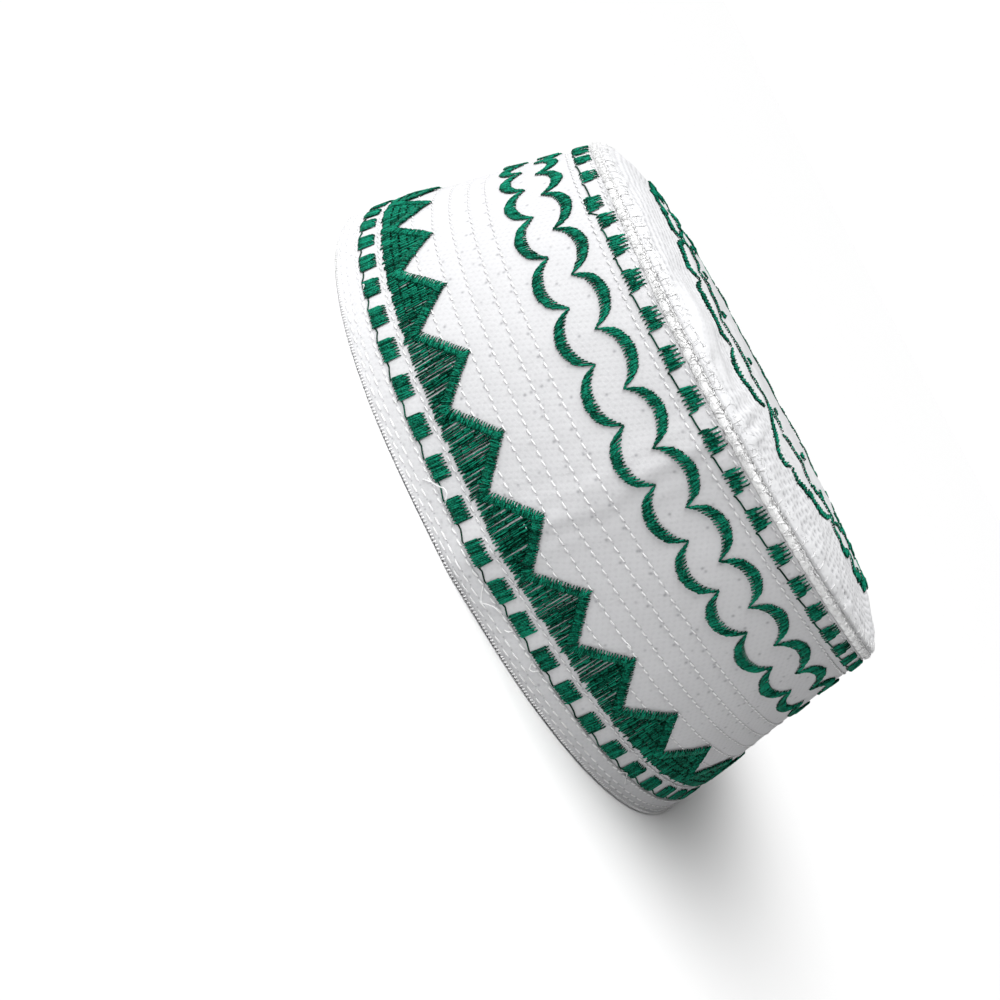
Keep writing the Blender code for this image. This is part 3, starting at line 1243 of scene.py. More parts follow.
class NodeBoard:
    """Adds nodes to one node tree and joins them."""

    def __init__(self, tree: bpy.types.NodeTree) -> None:
        """Works on one tree."""
        self.tree = tree

    def add(self, kind: str, **settings: object) -> bpy.types.Node:
        """Adds a node.

        Args:
            kind: Its type.
            settings: Its properties by name.

        Returns:
            The node.
        """
        node = self.tree.nodes.new(kind)
        for key, value in settings.items():
            setattr(node, key, value)
        return node

    def feed(self, socket: Socket, source: object) -> None:
        """Links a socket to another, or sets its value.

        Args:
            socket: The socket that is fed.
            source: The other socket, or the value.
        """
        if isinstance(source, Socket):
            self.tree.links.new(source, socket)
        else:
            socket.default_value = source

    def feed_all(self, node: bpy.types.Node, sources: dict[str, object]) -> None:
        """Feeds a node's inputs by name."""
        for name, source in sources.items():
            self.feed(node.inputs[name], source)

    def math(self, operation: str, *sources: object, clamp: bool = False) -> Socket:
        """Adds a math node.

        Args:
            operation: What it does.
            sources: Sockets or numbers that go in.
            clamp: Whether the result is kept between 0 and 1.

        Returns:
            Its result.
        """
        node = self.add("ShaderNodeMath", operation=operation, use_clamp=clamp)
        for index, source in enumerate(sources):
            self.feed(node.inputs[index], source)
        return node.outputs[0]

    def times(self, first: object, second: object, clamp: bool = False) -> Socket:
        """The product of two values."""
        return self.math("MULTIPLY", first, second, clamp=clamp)

    def falling(self, square: object) -> Socket:
        """A value that is 1 where the square of a distance is 0, and fades away from there."""
        return self.math("EXPONENT", self.times(square, -1.0))

    def noise(self, place: object, scale: float, detail: float = 2.0) -> Socket:
        """The strength of a cloudy noise, about 0.5 on the whole."""
        node = self.add("ShaderNodeTexNoise", noise_dimensions="3D")
        self.feed_all(node, {"Vector": place, "Scale": scale, "Detail": detail})
        return node.outputs["Fac"]

    def bump(self, height: object, strength: float, distance: float) -> Socket:
        """A surface direction that a height in the material tilts."""
        node = self.add("ShaderNodeBump")
        self.feed_all(node, {"Strength": strength, "Distance": distance, "Height": height})
        return node.outputs[0]

    def blend(self, factor: object, first: object, second: object) -> Socket:
        """Mixes two colours.

        Args:
            factor: Share of the second colour.
            first: The first colour.
            second: The second colour.

        Returns:
            The mixed colour.
        """
        node = self.add("ShaderNodeMix", data_type="RGBA", blend_type="MIX")
        for index, source in ((0, factor), (6, first), (7, second)):
            self.feed(node.inputs[index], source)
        return node.outputs[2]

    def value(self, name: str) -> Socket:
        """A value that the mesh carries."""
        return self.add("ShaderNodeAttribute", attribute_name=name).outputs["Fac"]

    def group(self, tree: bpy.types.NodeTree, **sources: object) -> bpy.types.Node:
        """Places a node group and feeds its inputs."""
        node = self.add("ShaderNodeGroup", node_tree=tree)
        self.feed_all(node, sources)
        return node


class EffectGroup:
    """A shader node group that several materials use."""

    def __init__(self, name: str, inputs: Sequence[str], outputs: Sequence[str]) -> None:
        """Makes the empty group with its sockets.

        Args:
            name: Name of the group.
            inputs: Names of the numbers that it is given, beside the place on the pattern.
            outputs: Names of its values.
        """
        self.tree = bpy.data.node_groups.new(name, "ShaderNodeTree")
        self.tree.interface.new_socket("Place", in_out="INPUT", socket_type="NodeSocketVector")
        for key in inputs:
            self.tree.interface.new_socket(key, in_out="INPUT", socket_type="NodeSocketFloat")
        for key in outputs:
            self.tree.interface.new_socket(key, in_out="OUTPUT", socket_type="NodeSocketFloat")
        self.board = NodeBoard(self.tree)
        self.start = self.board.add("NodeGroupInput")
        self.end = self.board.add("NodeGroupOutput")

    def given(self, name: str) -> Socket:
        """One of the group's inputs."""
        return self.start.outputs[name]

    def give(self, name: str, source: Socket) -> None:
        """Feeds one of the group's outputs."""
        self.board.feed(self.end.inputs[name], source)


class Effects:
    """The effects that the materials share, each built once."""

    LOOP_WAVES = ((0.38305, 0.5085), (0.61017, -0.2522))
    LOOP_WANDER = 0.9
    LOOP_DEPTH = 0.8
    FLUFF_DEPTH = 1.1

    def __init__(self) -> None:
        """Builds the groups."""
        self.knit = self.build_knit()
        self.holes = self.build_holes()
        self.specks = self.build_specks()

    def build_knit(self) -> bpy.types.NodeTree:
        """Builds the fine knit of the cloth: a slanting lattice of small loops with a little fluff, and
        painted shade that is darker where the knit is lower.

        Returns:
            The group.
        """
        group = EffectGroup("fine_knit", (), ("Height", "Shade"))
        board, place = group.board, group.given("Place")
        shift = board.times(board.noise(place, 0.12, 3.0), self.LOOP_WANDER)
        waves = []
        for across, upward in self.LOOP_WAVES:
            turn = board.add("ShaderNodeVectorMath", operation="DOT_PRODUCT")
            board.feed(turn.inputs[0], place)
            board.feed(turn.inputs[1], (across, upward, 0.0))
            turns = board.math("ADD", turn.outputs["Value"], shift)
            waves.append(board.math("COSINE", board.times(turns, math.tau)))
        loops = board.math("MAXIMUM", board.times(board.math("ADD", *waves), 0.5), 0.0)
        fluff = board.math("SUBTRACT", board.noise(place, 1.7, 4.0), 0.5)
        fuzzy = board.times(fluff, self.FLUFF_DEPTH)
        height = board.math("SUBTRACT", fuzzy, board.times(loops, self.LOOP_DEPTH))
        group.give("Height", height)
        # Painted shade: the cloth's colour is darker where the knit and its fluff are lower.
        group.give("Shade", board.math("MULTIPLY_ADD", height, 0.7, 0.8, clamp=True))
        return group.tree

    def build_holes(self) -> bpy.types.NodeTree:
        """Builds a mask of small round spots: the painted shade of the needle holes at the ends of the
        stitches of one row.

        Returns:
            The group.
        """
        inputs = ("Row", "Pitch", "Phase", "Length", "Width")
        group = EffectGroup("needle_holes", inputs, ("Mask",))
        board, pitch = group.board, group.given("Pitch")
        parts = board.add("ShaderNodeSeparateXYZ")
        board.feed(parts.inputs[0], group.given("Place"))
        moved = board.math("SUBTRACT", parts.outputs[0], group.given("Phase"))
        share = board.math("FRACT", board.math("DIVIDE", moved, pitch))
        away = board.times(board.math("SUBTRACT", share, 0.5), pitch)
        beside = board.math("DIVIDE", away, group.given("Length"))
        above = board.math("SUBTRACT", parts.outputs[1], group.given("Row"))
        above = board.math("DIVIDE", above, group.given("Width"))
        square = board.math("ADD", board.times(beside, beside), board.times(above, above))
        group.give("Mask", board.falling(square))
        return group.tree

    def build_specks(self) -> bpy.types.NodeTree:
        """Builds the scattered small grey marks in the cloth, each of a few fibres.

        Returns:
            The group.
        """
        group = EffectGroup("cloth_specks", ("Spacing", "Size"), ("Mask",))
        board, spacing = group.board, group.given("Spacing")
        cells = board.add("ShaderNodeTexVoronoi", voronoi_dimensions="2D", feature="F1")
        scaled = board.add("ShaderNodeVectorMath", operation="DIVIDE")
        joined = board.add("ShaderNodeCombineXYZ")
        for axis in range(3):
            board.feed(joined.inputs[axis], spacing)
        board.feed(scaled.inputs[0], group.given("Place"))
        board.feed(scaled.inputs[1], joined.outputs[0])
        board.feed_all(cells, {"Vector": scaled.outputs[0], "Scale": 1.0})
        reach = board.times(cells.outputs["Distance"], spacing)
        reach = board.math("DIVIDE", reach, group.given("Size"))
        spot = board.falling(board.times(reach, reach))
        chosen = board.add("ShaderNodeSeparateColor")
        board.feed(chosen.inputs[0], cells.outputs["Color"])
        strong = board.times(chosen.outputs[0], chosen.outputs[0])
        group.give("Mask", board.times(spot, strong))
        return group.tree


def new_material(name: str) -> tuple[bpy.types.Material, NodeBoard, bpy.types.Node]:
    """A material with its shader.

    Args:
        name: Name of the material.

    Returns:
        The material, a board for its nodes, and its Principled BSDF.
    """
    material = bpy.data.materials.new(name)
    material.use_nodes = True
    return material, NodeBoard(material.node_tree), material.node_tree.nodes["Principled BSDF"]


@dataclass(frozen=True)
class ClothFinish:
    """White knitted cotton, seen close, with grey specks and painted shade in the knit's hollows, the needle
    holes and the stitches' grooves. Sizes of specks and holes are in millimetres: length and width.
    """

    name: str
    color: Color = (0.67, 0.67, 0.683, 1.0)
    # The second colour is the painted shade in the knit's hollows.
    knit_shade_color: Color = (0.61, 0.61, 0.623, 1.0)
    # The mark colour is that of the grey specks, and of the painted shade in the needle holes and the
    # stitches' grooves.
    mark: Color = (0.20, 0.20, 0.22, 1.0)
    rows: tuple[StitchRow, ...] = ()
    marks: tuple[Triple, ...] = ()
    speck_spacing: float = 6.5
    speck_size: float = 0.40
    speck_strength: float = 0.62
    hole_shade_size: Pair = (0.22, 0.24)
    mark_size: Pair = (0.38, 0.42)
    hole_strength: float = 0.55
    groove_shade_strength: float = 1.3
    bump_strength: float = 0.45
    bump_distance: float = 0.0001

    def material(self, effects: Effects) -> bpy.types.Material:
        """Builds the material.

        Args:
            effects: The shared effects.

        Returns:
            The material, which reads the piece's pattern coordinates.
        """
        material, board, shader = new_material(self.name)
        scaled = board.add("ShaderNodeVectorMath", operation="SCALE")
        board.feed(scaled.inputs[0], board.add("ShaderNodeUVMap", uv_map="pattern").outputs[0])
        board.feed(scaled.inputs["Scale"], BAND_RING)
        place = scaled.outputs[0]
        knit = board.group(effects.knit, Place=place)
        specks = board.group(effects.specks, Place=place, Spacing=self.speck_spacing, Size=self.speck_size)
        dark = board.times(specks.outputs[0], self.speck_strength)
        # Painted shade of the needle holes at each row of stitches; the marks are further rows of the same
        # spots.
        spots = [(row.height, BAND_RING / row.count, row.phase, self.hole_shade_size) for row in self.rows]
        spots += [(*mark, self.mark_size) for mark in self.marks]
        for height, pitch, phase, (length, width) in spots:
            row, start = height + UV_RISE * BAND_RING, phase + 0.5 * BAND_RING
            sizes = {"Row": row, "Pitch": pitch, "Phase": start, "Length": length, "Width": width}
            holes = board.group(effects.holes, Place=place, **sizes)
            dark = board.math("MAXIMUM", dark, board.times(holes.outputs[0], self.hole_strength))
        # Painted shade in the stitches' grooves: the cloth darkens towards the mark colour where they are
        # deep.
        groove = board.times(board.value("groove"), self.groove_shade_strength, clamp=True)
        base = board.blend(knit.outputs["Shade"], self.knit_shade_color, self.color)
        base = board.blend(groove, base, self.mark)
        height = board.math("SUBTRACT", knit.outputs["Height"], dark)
        looks = {
            "Base Color": board.blend(dark, base, self.mark),
            "Roughness": 0.9,
            "Specular IOR Level": 0.2,
            "Sheen Weight": 0.15,
            "Normal": board.bump(height, self.bump_strength, self.bump_distance),
        }
        board.feed_all(shader, looks)
        return material


@dataclass(frozen=True)
class ThreadFinish:
    """Sewing thread, a little different from stitch to stitch, with painted shade: it turns to its shade
    colour where the light that its points carry is low, as at its needle holes and on its sides.

    The fleck is how uneven the thread is along its length, and the twist is how strongly its plies show.
    """

    name: str
    shade_color: Color
    dull: Color
    bright: Color
    roughness: float
    shine: float = 0.3
    gloss: Color = (1.0, 1.0, 1.0, 1.0)
    fleck: float = 0.5
    twist: float = 0.35
    glow: float = 0.0
    glow_depth: float = 0.0005
    fibre_scale: float = 2400.0
    ply_depth: float = 0.00006

    def material(self) -> bpy.types.Material:
        """Builds the material.

        Returns:
            The material, which reads the values that the threads carry.
        """
        material, board, shader = new_material(self.name)
        fibres = board.noise(board.add("ShaderNodeTexCoord").outputs["Object"], self.fibre_scale)
        fleck = board.math("MULTIPLY_ADD", fibres, 3.4 * self.fleck, -1.7 * self.fleck)
        body = board.blend(board.math("ADD", board.value("tint"), fleck, clamp=True), self.dull, self.bright)
        ply = board.math("SINE", board.times(board.value("twist"), math.tau))
        looks = {
            # Painted shade: the thread turns to its shade colour where its carried shade is low.
            "Base Color": board.blend(board.value("shade"), self.shade_color, body),
            "Roughness": self.roughness,
            "Specular IOR Level": self.shine,
            "Specular Tint": self.gloss,
            "Subsurface Weight": self.glow,
            "Subsurface Radius": (1.0, 1.0, 1.0),
            "Subsurface Scale": self.glow_depth,
            "Normal": board.bump(ply, self.twist, self.ply_depth),
        }
        board.feed_all(shader, looks)
        return material


class Finishes:
    """Every material of the cap, made once."""

    WHITE = ThreadFinish(
        "white_thread",
        (0.78, 0.78, 0.79, 1.0),
        (0.92, 0.92, 0.92, 1.0),
        (0.97, 0.97, 0.97, 1.0),
        roughness=0.55,
        fleck=0.3,
        glow=1.0,
    )
    GREEN = ThreadFinish(
        "green_thread",
        (0.0001, 0.010, 0.005, 1.0),
        (0.0004, 0.036, 0.020, 1.0),
        (0.0130, 0.370, 0.220, 1.0),
        roughness=0.40,
        shine=0.10,
        gloss=(0.30, 1.0, 0.75, 1.0),
        fleck=0.80,
    )

    def __init__(self, pattern: "Pattern") -> None:
        """Builds the materials.

        Args:
            pattern: The rows of stitches, whose needle holes the cloth shows.
        """
        effects = Effects()
        band = ClothFinish("white_knit_band", rows=pattern.band_rows, marks=pattern.marks)
        hem = ClothFinish("white_knit_hem", rows=pattern.hem_rows)
        crown = ClothFinish("white_knit_crown", (0.71, 0.713, 0.725, 1.0), (0.65, 0.653, 0.665, 1.0))
        self.band = band.material(effects)
        self.hem = hem.material(effects)
        self.crown = crown.material(effects)
        self.white = self.WHITE.material()
        self.green = self.GREEN.material()


@dataclass(frozen=True)
class Pattern:
    """Where each row of stitches and each figure lies on the unrolled cloth, in millimetres."""

    band_rows: tuple[StitchRow, ...] = (
        StitchRow(12.2, phase=0.9),
        StitchRow(22.6, phase=1.9),
        StitchRow(28.4, phase=0.6),
        StitchRow(33.5, phase=1.5),
        StitchRow(39.0, phase=0.2),
        StitchRow(44.1, phase=2.2),
        StitchRow(67.6, phase=1.1),
        StitchRow(73.2, phase=0.4, width=0.32),
    )
    hem_rows: tuple[StitchRow, ...] = (
        StitchRow(5.4, phase=0.8, visible=0.76, tilt=0.42, width=0.42),
        StitchRow(2.5, 155, 0.0, 0.74, 0.22, 0.42),
        StitchRow(0.8, 155, 1.9, 0.74, 0.22, 0.42),
    )
    crown_rows: tuple[StitchRow, ...] = tuple(
        StitchRow(3.4 + 1.93 * index, 236, 0.5 * (index % 3), 0.62, 0.2, 0.32) for index in range(8)
    )
    marks: tuple[Triple, ...] = (
        (43.2, 6.556, 0.3),
        (38.1, 6.556, 0.9),
        (60.2, 15.946, -4.4),
        (54.2, 15.946, 4.2),
    )
    low_dashes: DashRow = DashRow(
        low=6.2,
        high=11.2,
        phase=-0.5,
        link=((0.0, 7.0), (0.3, 7.1), (0.55, 6.75), (0.85, 6.35), (1.0, 6.25)),
        slips=(
            (-110.0, 0.0), (-98.8, 0.4), (-77.0, -0.1), (-55.1, -0.8), (-33.3, -0.7),
            (-11.4, -0.2), (-0.5, 0.0), (10.4, -0.2), (21.3, -1.3), (32.3, -1.7),
            (43.2, -1.7), (54.1, -1.3), (65.1, -0.5), (76.0, 0.0),
        ),
    )
    top_dashes: DashRow = DashRow(
        low=69.2,
        high=73.7,
        phase=1.1,
        link=((0.0, 69.1), (0.14, 69.5), (0.45, 69.6), (0.8, 69.7), (1.0, 69.75)),
        slips=(
            (-120.0, 0.0), (-97.2, -2.0), (-86.3, 0.7), (-75.4, 3.5), (-64.5, 0.8), (-53.5, -0.5),
            (-31.7, 0.1), (1.1, 0.0), (22.9, 0.4), (44.8, 0.9), (66.7, 0.5), (90.0, 0.0),
        ),
        length=6.3,
        tooth=0.56,
        ragged=(0.7, 1.6),
        closes=True,
    )
    triangles: TriangleRow = TriangleRow()
    upper_scallops: Scallops = Scallops(
        count=37,
        phase=-3.5,
        point=58.35,
        bulge=1.0,
        slips=(
            (-115.0, 0.0), (-83.2, -2.3), (-67.3, -1.1), (-51.3, -0.7), (-35.4, -0.1), (-19.4, 0.3),
            (-3.5, 0.0), (28.4, 0.0), (44.3, -0.4), (60.3, -0.7), (90.0, 0.0),
        ),
    )
    lower_scallops: Scallops = Scallops(
        count=37,
        phase=4.2,
        point=55.0,
        bulge=-1.0,
        slips=(
            (-115.0, 0.0), (-91.5, -0.7), (-75.5, -0.9), (-59.6, -0.3), (-43.6, 0.0), (-11.7, 0.4),
            (4.2, 0.0), (20.1, 0.1), (36.1, -0.7), (52.0, -1.2), (68.0, -0.8), (90.0, 0.0),
        ),
    )
    crown_near: Scallops = Scallops(
        count=27,
        phase=2.0,
        point=22.0,
        bulge=-1.0,
        slips=(
            (-110.0, 0.0), (-60.4, 0.0), (-39.6, -3.9), (-18.8, 0.0),
            (2.0, 0.0), (22.8, -2.8), (43.6, 3.9), (90.0, 0.0),
        ),
        tooth=0.62,
        scale=0.95,
        sway=(
            (-80.0, 0.0), (-60.0, -3.5), (-43.5, 1.8), (-30.0, -0.6), (-19.0, 0.5), (-8.5, 4.0),
            (2.0, 6.0), (12.0, -2.5), (20.0, -6.2), (32.0, 0.5), (47.5, 2.0), (80.0, 0.0),
        ),
    )
    crown_far: Scallops = Scallops(
        count=27,
        phase=12.4,
        point=25.0,
        bulge=1.0,
        tooth=0.9,
        scale=0.6,
        sway=((-60.0, 0.0), (-29.0, 2.0), (-8.4, 6.0), (2.0, 8.0), (12.4, -1.5), (22.0, -2.0), (40.0, 0.0)),
    )
    crown_leaves: LeafRow = LeafRow(height=33.0, count=27, phase=7.0)


@dataclass
class CapPart:
    """One sub-assembly of the cap, with what all of them need."""

    form: CapForm
    finishes: Finishes

    def finish(self, piece: Piece, material: bpy.types.Material, slot: str) -> Piece:
        """Dresses a piece and fixes it to the cap.

        Args:
            piece: The piece.
            material: Its material.
            slot: Not used.

        Returns:
            The same piece.
        """
        piece.data.materials.append(material)
        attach(piece, BODY)
        triangles = sum(len(face.vertices) - 2 for face in piece.data.polygons)
        LOG.info("%s: %d triangles", piece.name, triangles)
        return piece

    def sewn(self, threads: dict[str, Strands], material: bpy.types.Material, slot: str) -> list[Piece]:
        """Makes a dressed piece of each collection of threads, by its name."""
        return [self.finish(strands.mesh().piece(name), material, slot) for name, strands in threads.items()]


@dataclass
class SideBand(CapPart):
    """The quilted band: an outer face with its relief, and a plain lining.

    The tuck, in metres, is how far it goes behind the strip. The steps between its rings are in millimetres.
    """

    columns: int = 600
    lining_levels: int = 7
    tuck: float = 0.0002
    widest_step: float = 1.1
    closest_step: float = 0.22
    edge_step: float = 0.12
    row_steps: tuple[float, ...] = (-0.6, -0.25, 0.0, 0.25, 0.6)

    def levels(self, surface: BandSurface, bottom: float, top: float) -> Array:
        """Chooses the outer face's rings, closer together beside the rows of stitches.

        Args:
            surface: The band's pattern.
            bottom: Height of the lowest ring in millimetres.
            top: Height of the highest.

        Returns:
            Heights of the rings, from the bottom up.
        """
        heights = set(np.arange(math.ceil(bottom), top, self.widest_step))
        for row in surface.rows:
            heights.update(row.height + step for step in self.row_steps)
        kept = [bottom, bottom + self.edge_step]
        for height in sorted(heights):
            if height - kept[-1] > self.closest_step and top - height > 0.30:
                kept.append(height)
        return as_array(kept + [top - self.edge_step, top])

    def build(self, surface: BandSurface) -> Piece:
        """Builds the band's cloth.

        Args:
            surface: The band's pattern.

        Returns:
            The piece, which stands for the solid of the band.
        """
        form = self.form
        bottom = (form.strip_top - self.tuck) / MM
        top = (form.seam_height - form.bead_radius + form.gap) / MM
        outer = self.levels(surface, bottom, top)
        inner = np.linspace(top, bottom, self.lining_levels)
        along = round_way(self.columns, surface.ring)
        place = along[None, :], outer[:, None]
        fade = np.clip(top - outer, 0.0, 1.0)
        relief = surface.relief(*place) * fade[:, None] * MM
        face = surface.ground(*place) + surface.outward(*place) * relief[..., None]
        angle = surface.angle(along[None, :], inner[:, None])
        lining = form.band_point(angle, inner[:, None] * MM, form.wall)
        rise = np.concatenate([outer, LINING_RISE - inner]) / surface.ring + UV_RISE
        mesh = ring_mesh(np.concatenate([face, lining]), along / surface.ring + 0.5, rise, {"groove": 0.0})
        piece = self.finish(mesh.piece("band_cloth"), self.finishes.band, "band_cloth")
        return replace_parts(piece, "side_band")


@dataclass
class HemStrip(CapPart):
    """The folded strip round the opening, with its rounded fold at the bottom."""

    columns: int = 640
    face_rings: int = 14
    fold_angles: tuple[float, ...] = (180.0, 200.0, 225.0, 250.0, 270.0, 290.0, 315.0, 340.0, 360.0)
    fold_flatness: float = 0.9
    relief_share: float = 0.8

    def section(self) -> tuple[Array, Array]:
        """The strip's section.

        Returns:
            Heights and insets in metres, up the outer face and down the inner one.
        """
        form = self.form
        outer = (form.strip_wall - form.wall) / -2.0
        inner = outer + form.strip_wall
        radius = form.strip_wall / 2.0
        low = form.hem_edge
        turns = np.radians(self.fold_angles[::-1][1:-1])
        fold_height = low + radius * self.fold_flatness + np.sin(turns) * radius * self.fold_flatness
        fold_inset = (outer + inner) / 2.0 + np.cos(turns) * radius
        rise = np.linspace(low + radius, form.strip_top - 0.0003, self.face_rings)
        down = rise[::-2]
        heights = [rise, [form.strip_top, form.strip_top], down, fold_height]
        face = np.full(len(rise), outer)
        lining = np.full(len(down), inner)
        insets = [face, [outer + 0.00022, inner - 0.0004], lining, fold_inset]
        return np.concatenate(heights), np.concatenate(insets)

    def build(self, surface: BandSurface) -> Piece:
        """Builds the strip.

        Args:
            surface: The band's pattern.

        Returns:
            The piece, which stands for the solid of the strip.
        """
        heights, insets = self.section()
        along = round_way(self.columns, surface.ring)
        level = np.broadcast_to(heights[:, None] / MM, (len(heights), self.columns))
        angle = surface.angle(along[None, :], level)
        radius = self.form.wall_radius(angle, level * MM / self.form.seam_height) - insets[:, None]
        ground = self.form.placed(angle, radius, level * MM)
        normal = surface.outward(along[None, :], level)
        outside = (insets < 0.0) & (heights < self.form.strip_top) & (heights > 0.0)
        share = np.where(outside, self.relief_share, 0.0)[:, None]
        relief = surface.relief(along[None, :], level) * share * MM
        points = ground + normal * relief[..., None]
        points[..., 2] = np.maximum(points[..., 2], 0.0)
        rise = np.where(insets < 0.0002, heights / MM, LINING_RISE + heights / MM)
        rise = rise / surface.ring + UV_RISE
        mesh = ring_mesh(points, along / surface.ring + 0.5, rise, {"groove": 0.0})
        piece = self.finish(mesh.piece("hem_cloth"), self.finishes.hem, "hem_cloth")
        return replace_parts(piece, "hem_strip")


@dataclass
class CrownTop(CapPart):
    """The crown's padded disc.

    Rings near the seam follow its outline. Between the two distances of `evened` they change to even rings
    round the middle, whose distance is `middle`. These are in millimetres. The rim goes under the seam, and
    down by the tuck in metres.
    """

    columns: int = 880
    tuck: float = 0.0009
    rim_share: float = 0.992
    evened: Pair = (45.0, 92.0)
    middle: float = 95.0
    rim_rings: tuple[float, ...] = (0.0, 0.12, 0.45, 0.9, 1.4, 2.0, 2.5)
    row_steps: tuple[float, ...] = (-0.62, -0.28, 0.0, 0.28, 0.62)
    lining_shift: float = 250.0

    def rings(self, rows: Sequence[StitchRow]) -> list[tuple[float, int]]:
        """Distances in from the seam of the outer face's rings, and how many vertices each has.

        Args:
            rows: The rows of stitches, beside which the rings are closer together.

        Returns:
            Pairs of a distance in millimetres and a number of vertices.
        """
        near = list(self.rim_rings) + [row.height + step for row in rows for step in self.row_steps]
        rings = [(distance, self.columns) for distance in near]
        spans = ((near[-1] + 0.6, 42.0, 0.9, 2), (43.5, 64.0, 1.7, 4), (67.0, 92.0, 3.2, 8))
        for start, end, step, fewer in spans:
            rings += [(distance, self.columns // fewer) for distance in np.arange(start, end, step)]
        return [(float(distance), count) for distance, count in rings]

    def ring_points(self, surface: CrownSurface, distance: float, count: int, inner: bool) -> Array:
        """Points of one ring.

        Args:
            surface: The crown's pattern.
            distance: Distance in from the seam in millimetres.
            count: Number of points.
            inner: Whether the ring is on the lining.

        Returns:
            The points in metres.
        """
        form = self.form
        along = round_way(count, surface.ring)
        angle = surface.angle(along)
        shortest = float(np.min(form.wall_radius(surface.angles, 1.0))) / MM
        middle = max(0.0, distance - self.evened[0]) / (self.evened[1] - self.evened[0])
        rim = form.wall_radius(angle, 1.0) - form.crown_rim_inset
        share = 1.0 - distance * MM / rim
        even = 1.0 - distance / self.middle
        share = share * (1.0 - middle) + max(even, 0.0) * middle
        if inner:
            return form.crown_point(angle, share, form.wall)
        share = np.where(distance > 0.9 * shortest, np.maximum(share, 0.01), share)
        relief = surface.relief(along, np.full_like(along, distance)) * MM * (1.0 - middle)
        normal = surface.outward(along, np.full_like(along, max(distance, 0.4)))
        point = form.crown_point(angle, share) + normal * relief[:, None]
        if distance == 0.0:
            point = point * [self.rim_share, self.rim_share, 1.0] - [0.0, 0.0, self.tuck]
        return point

    def build(self, surface: CrownSurface) -> Piece:
        """Builds the crown's cloth.

        Args:
            surface: The crown's pattern.

        Returns:
            The piece, which stands for the solid of the crown.
        """
        lining = [(0.0, self.columns), (1.5, self.columns // 2), (4.0, self.columns // 4)]
        lining += [(float(distance), self.columns // 8) for distance in np.arange(9.0, 92.0, 8.0)]
        points, places, grooves, faces, rims = [], [], [], [], []
        for rings, inner in ((self.rings(surface.rows), False), (lining, True)):
            start = sum(map(len, points))
            ends = start + np.cumsum([count for _, count in rings])
            numbers = [end - count + np.arange(count) for end, (_, count) in zip(ends, rings)]
            faces += [ring_strip(low, high, inner) for low, high in zip(numbers[:-1], numbers[1:])]
            faces.append(ring_fan(numbers[-1], ends[-1], inner))
            rims.append(numbers[0])
            points += [self.ring_points(surface, *ring, inner) for ring in rings]
            points.append(self.form.crown_point(as_array([0.0]), 0.0, self.form.wall if inner else 0.0))
            grooves += [self.ring_groove_shades(surface, *ring, inner) for ring in rings] + [as_array([0.0])]
            shift = self.lining_shift if inner else 0.0
            places += [ring[:, :2] / MM + [shift, 0.0] for ring in points[-len(rings) - 1 : -1]]
            places.append(points[-1][:, :2] / MM)
        faces.append(ring_strip(rims[1], rims[0]))
        uv = np.concatenate(places) / BAND_RING + 0.5
        # The groove depths go to the material, which paints shade in the grooves.
        values = {"groove": np.concatenate(grooves)}
        mesh = PlainMesh(np.concatenate(points), faces, [uv[numbers] for numbers in faces], values)
        piece = self.finish(mesh.piece("crown_cloth"), self.finishes.crown, "crown_cloth")
        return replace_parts(piece, "crown_top")

    def ring_groove_shades(self, surface: CrownSurface, distance: float, count: int, inner: bool) -> Array:
        """Depths of the grooves at one ring's points, which the material paints as shade. The lining has
        none.
        """
        along = round_way(count, surface.ring)
        return surface.groove(along, np.full_like(along, distance)) * (0.0 if inner else 1.0)


class RollSurface(SewnSurface):
    """The seam's roll: height is the angle round it in degrees, 0 outwards and 90 up."""

    FULLNESS = 1.02
    LEGS = 134

    def __init__(self, band: BandSurface) -> None:
        """Follows the band's seam.

        Args:
            band: The band's pattern.
        """
        self.band = band
        self.form = band.form
        self.ring = band.ring
        self.lumps = SoftNoise(31, self.ring, 2.0, 8.0)

    def radius(self, along: Array, height: Array) -> Array:
        """Radius of the roll, which is lumpy and drawn in under each leg of thread."""
        drawn = 0.05 * np.cos(math.tau * along * self.LEGS / self.ring)
        full = self.FULLNESS + 0.06 * self.lumps.at(along, height / 14.0) - drawn
        return self.form.bead_radius * full

    def ground(self, along: Array, height: Array) -> Array:
        """Points of the roll.

        Args:
            along: Distances round the cap in millimetres.
            height: Angles round the roll in degrees.

        Returns:
            The points in metres.
        """
        form = self.form
        along, height = np.broadcast_arrays(as_array(along), as_array(height))
        angle = self.band.angle(along, form.seam_height / MM)
        turn = np.radians(height)
        radius = self.radius(along, height)
        outward = form.wall_radius(angle, 1.0) - form.wall / 2.0 + radius * np.cos(turn)
        return form.placed(angle, outward, form.seam_height + radius * np.sin(turn))

    def relief(self, along: Array, height: Array) -> Array:
        """The roll has no relief of its own."""
        return np.zeros(np.broadcast(along, height).shape)

    def outward(self, along: Array, height: Array) -> Array:
        """Directions out of the roll."""
        round_way = self.ground(along + self.probe, height) - self.ground(along - self.probe, height)
        up_way = self.ground(along, height + 4.0) - self.ground(along, height - 4.0)
        return unit(np.cross(round_way, up_way))


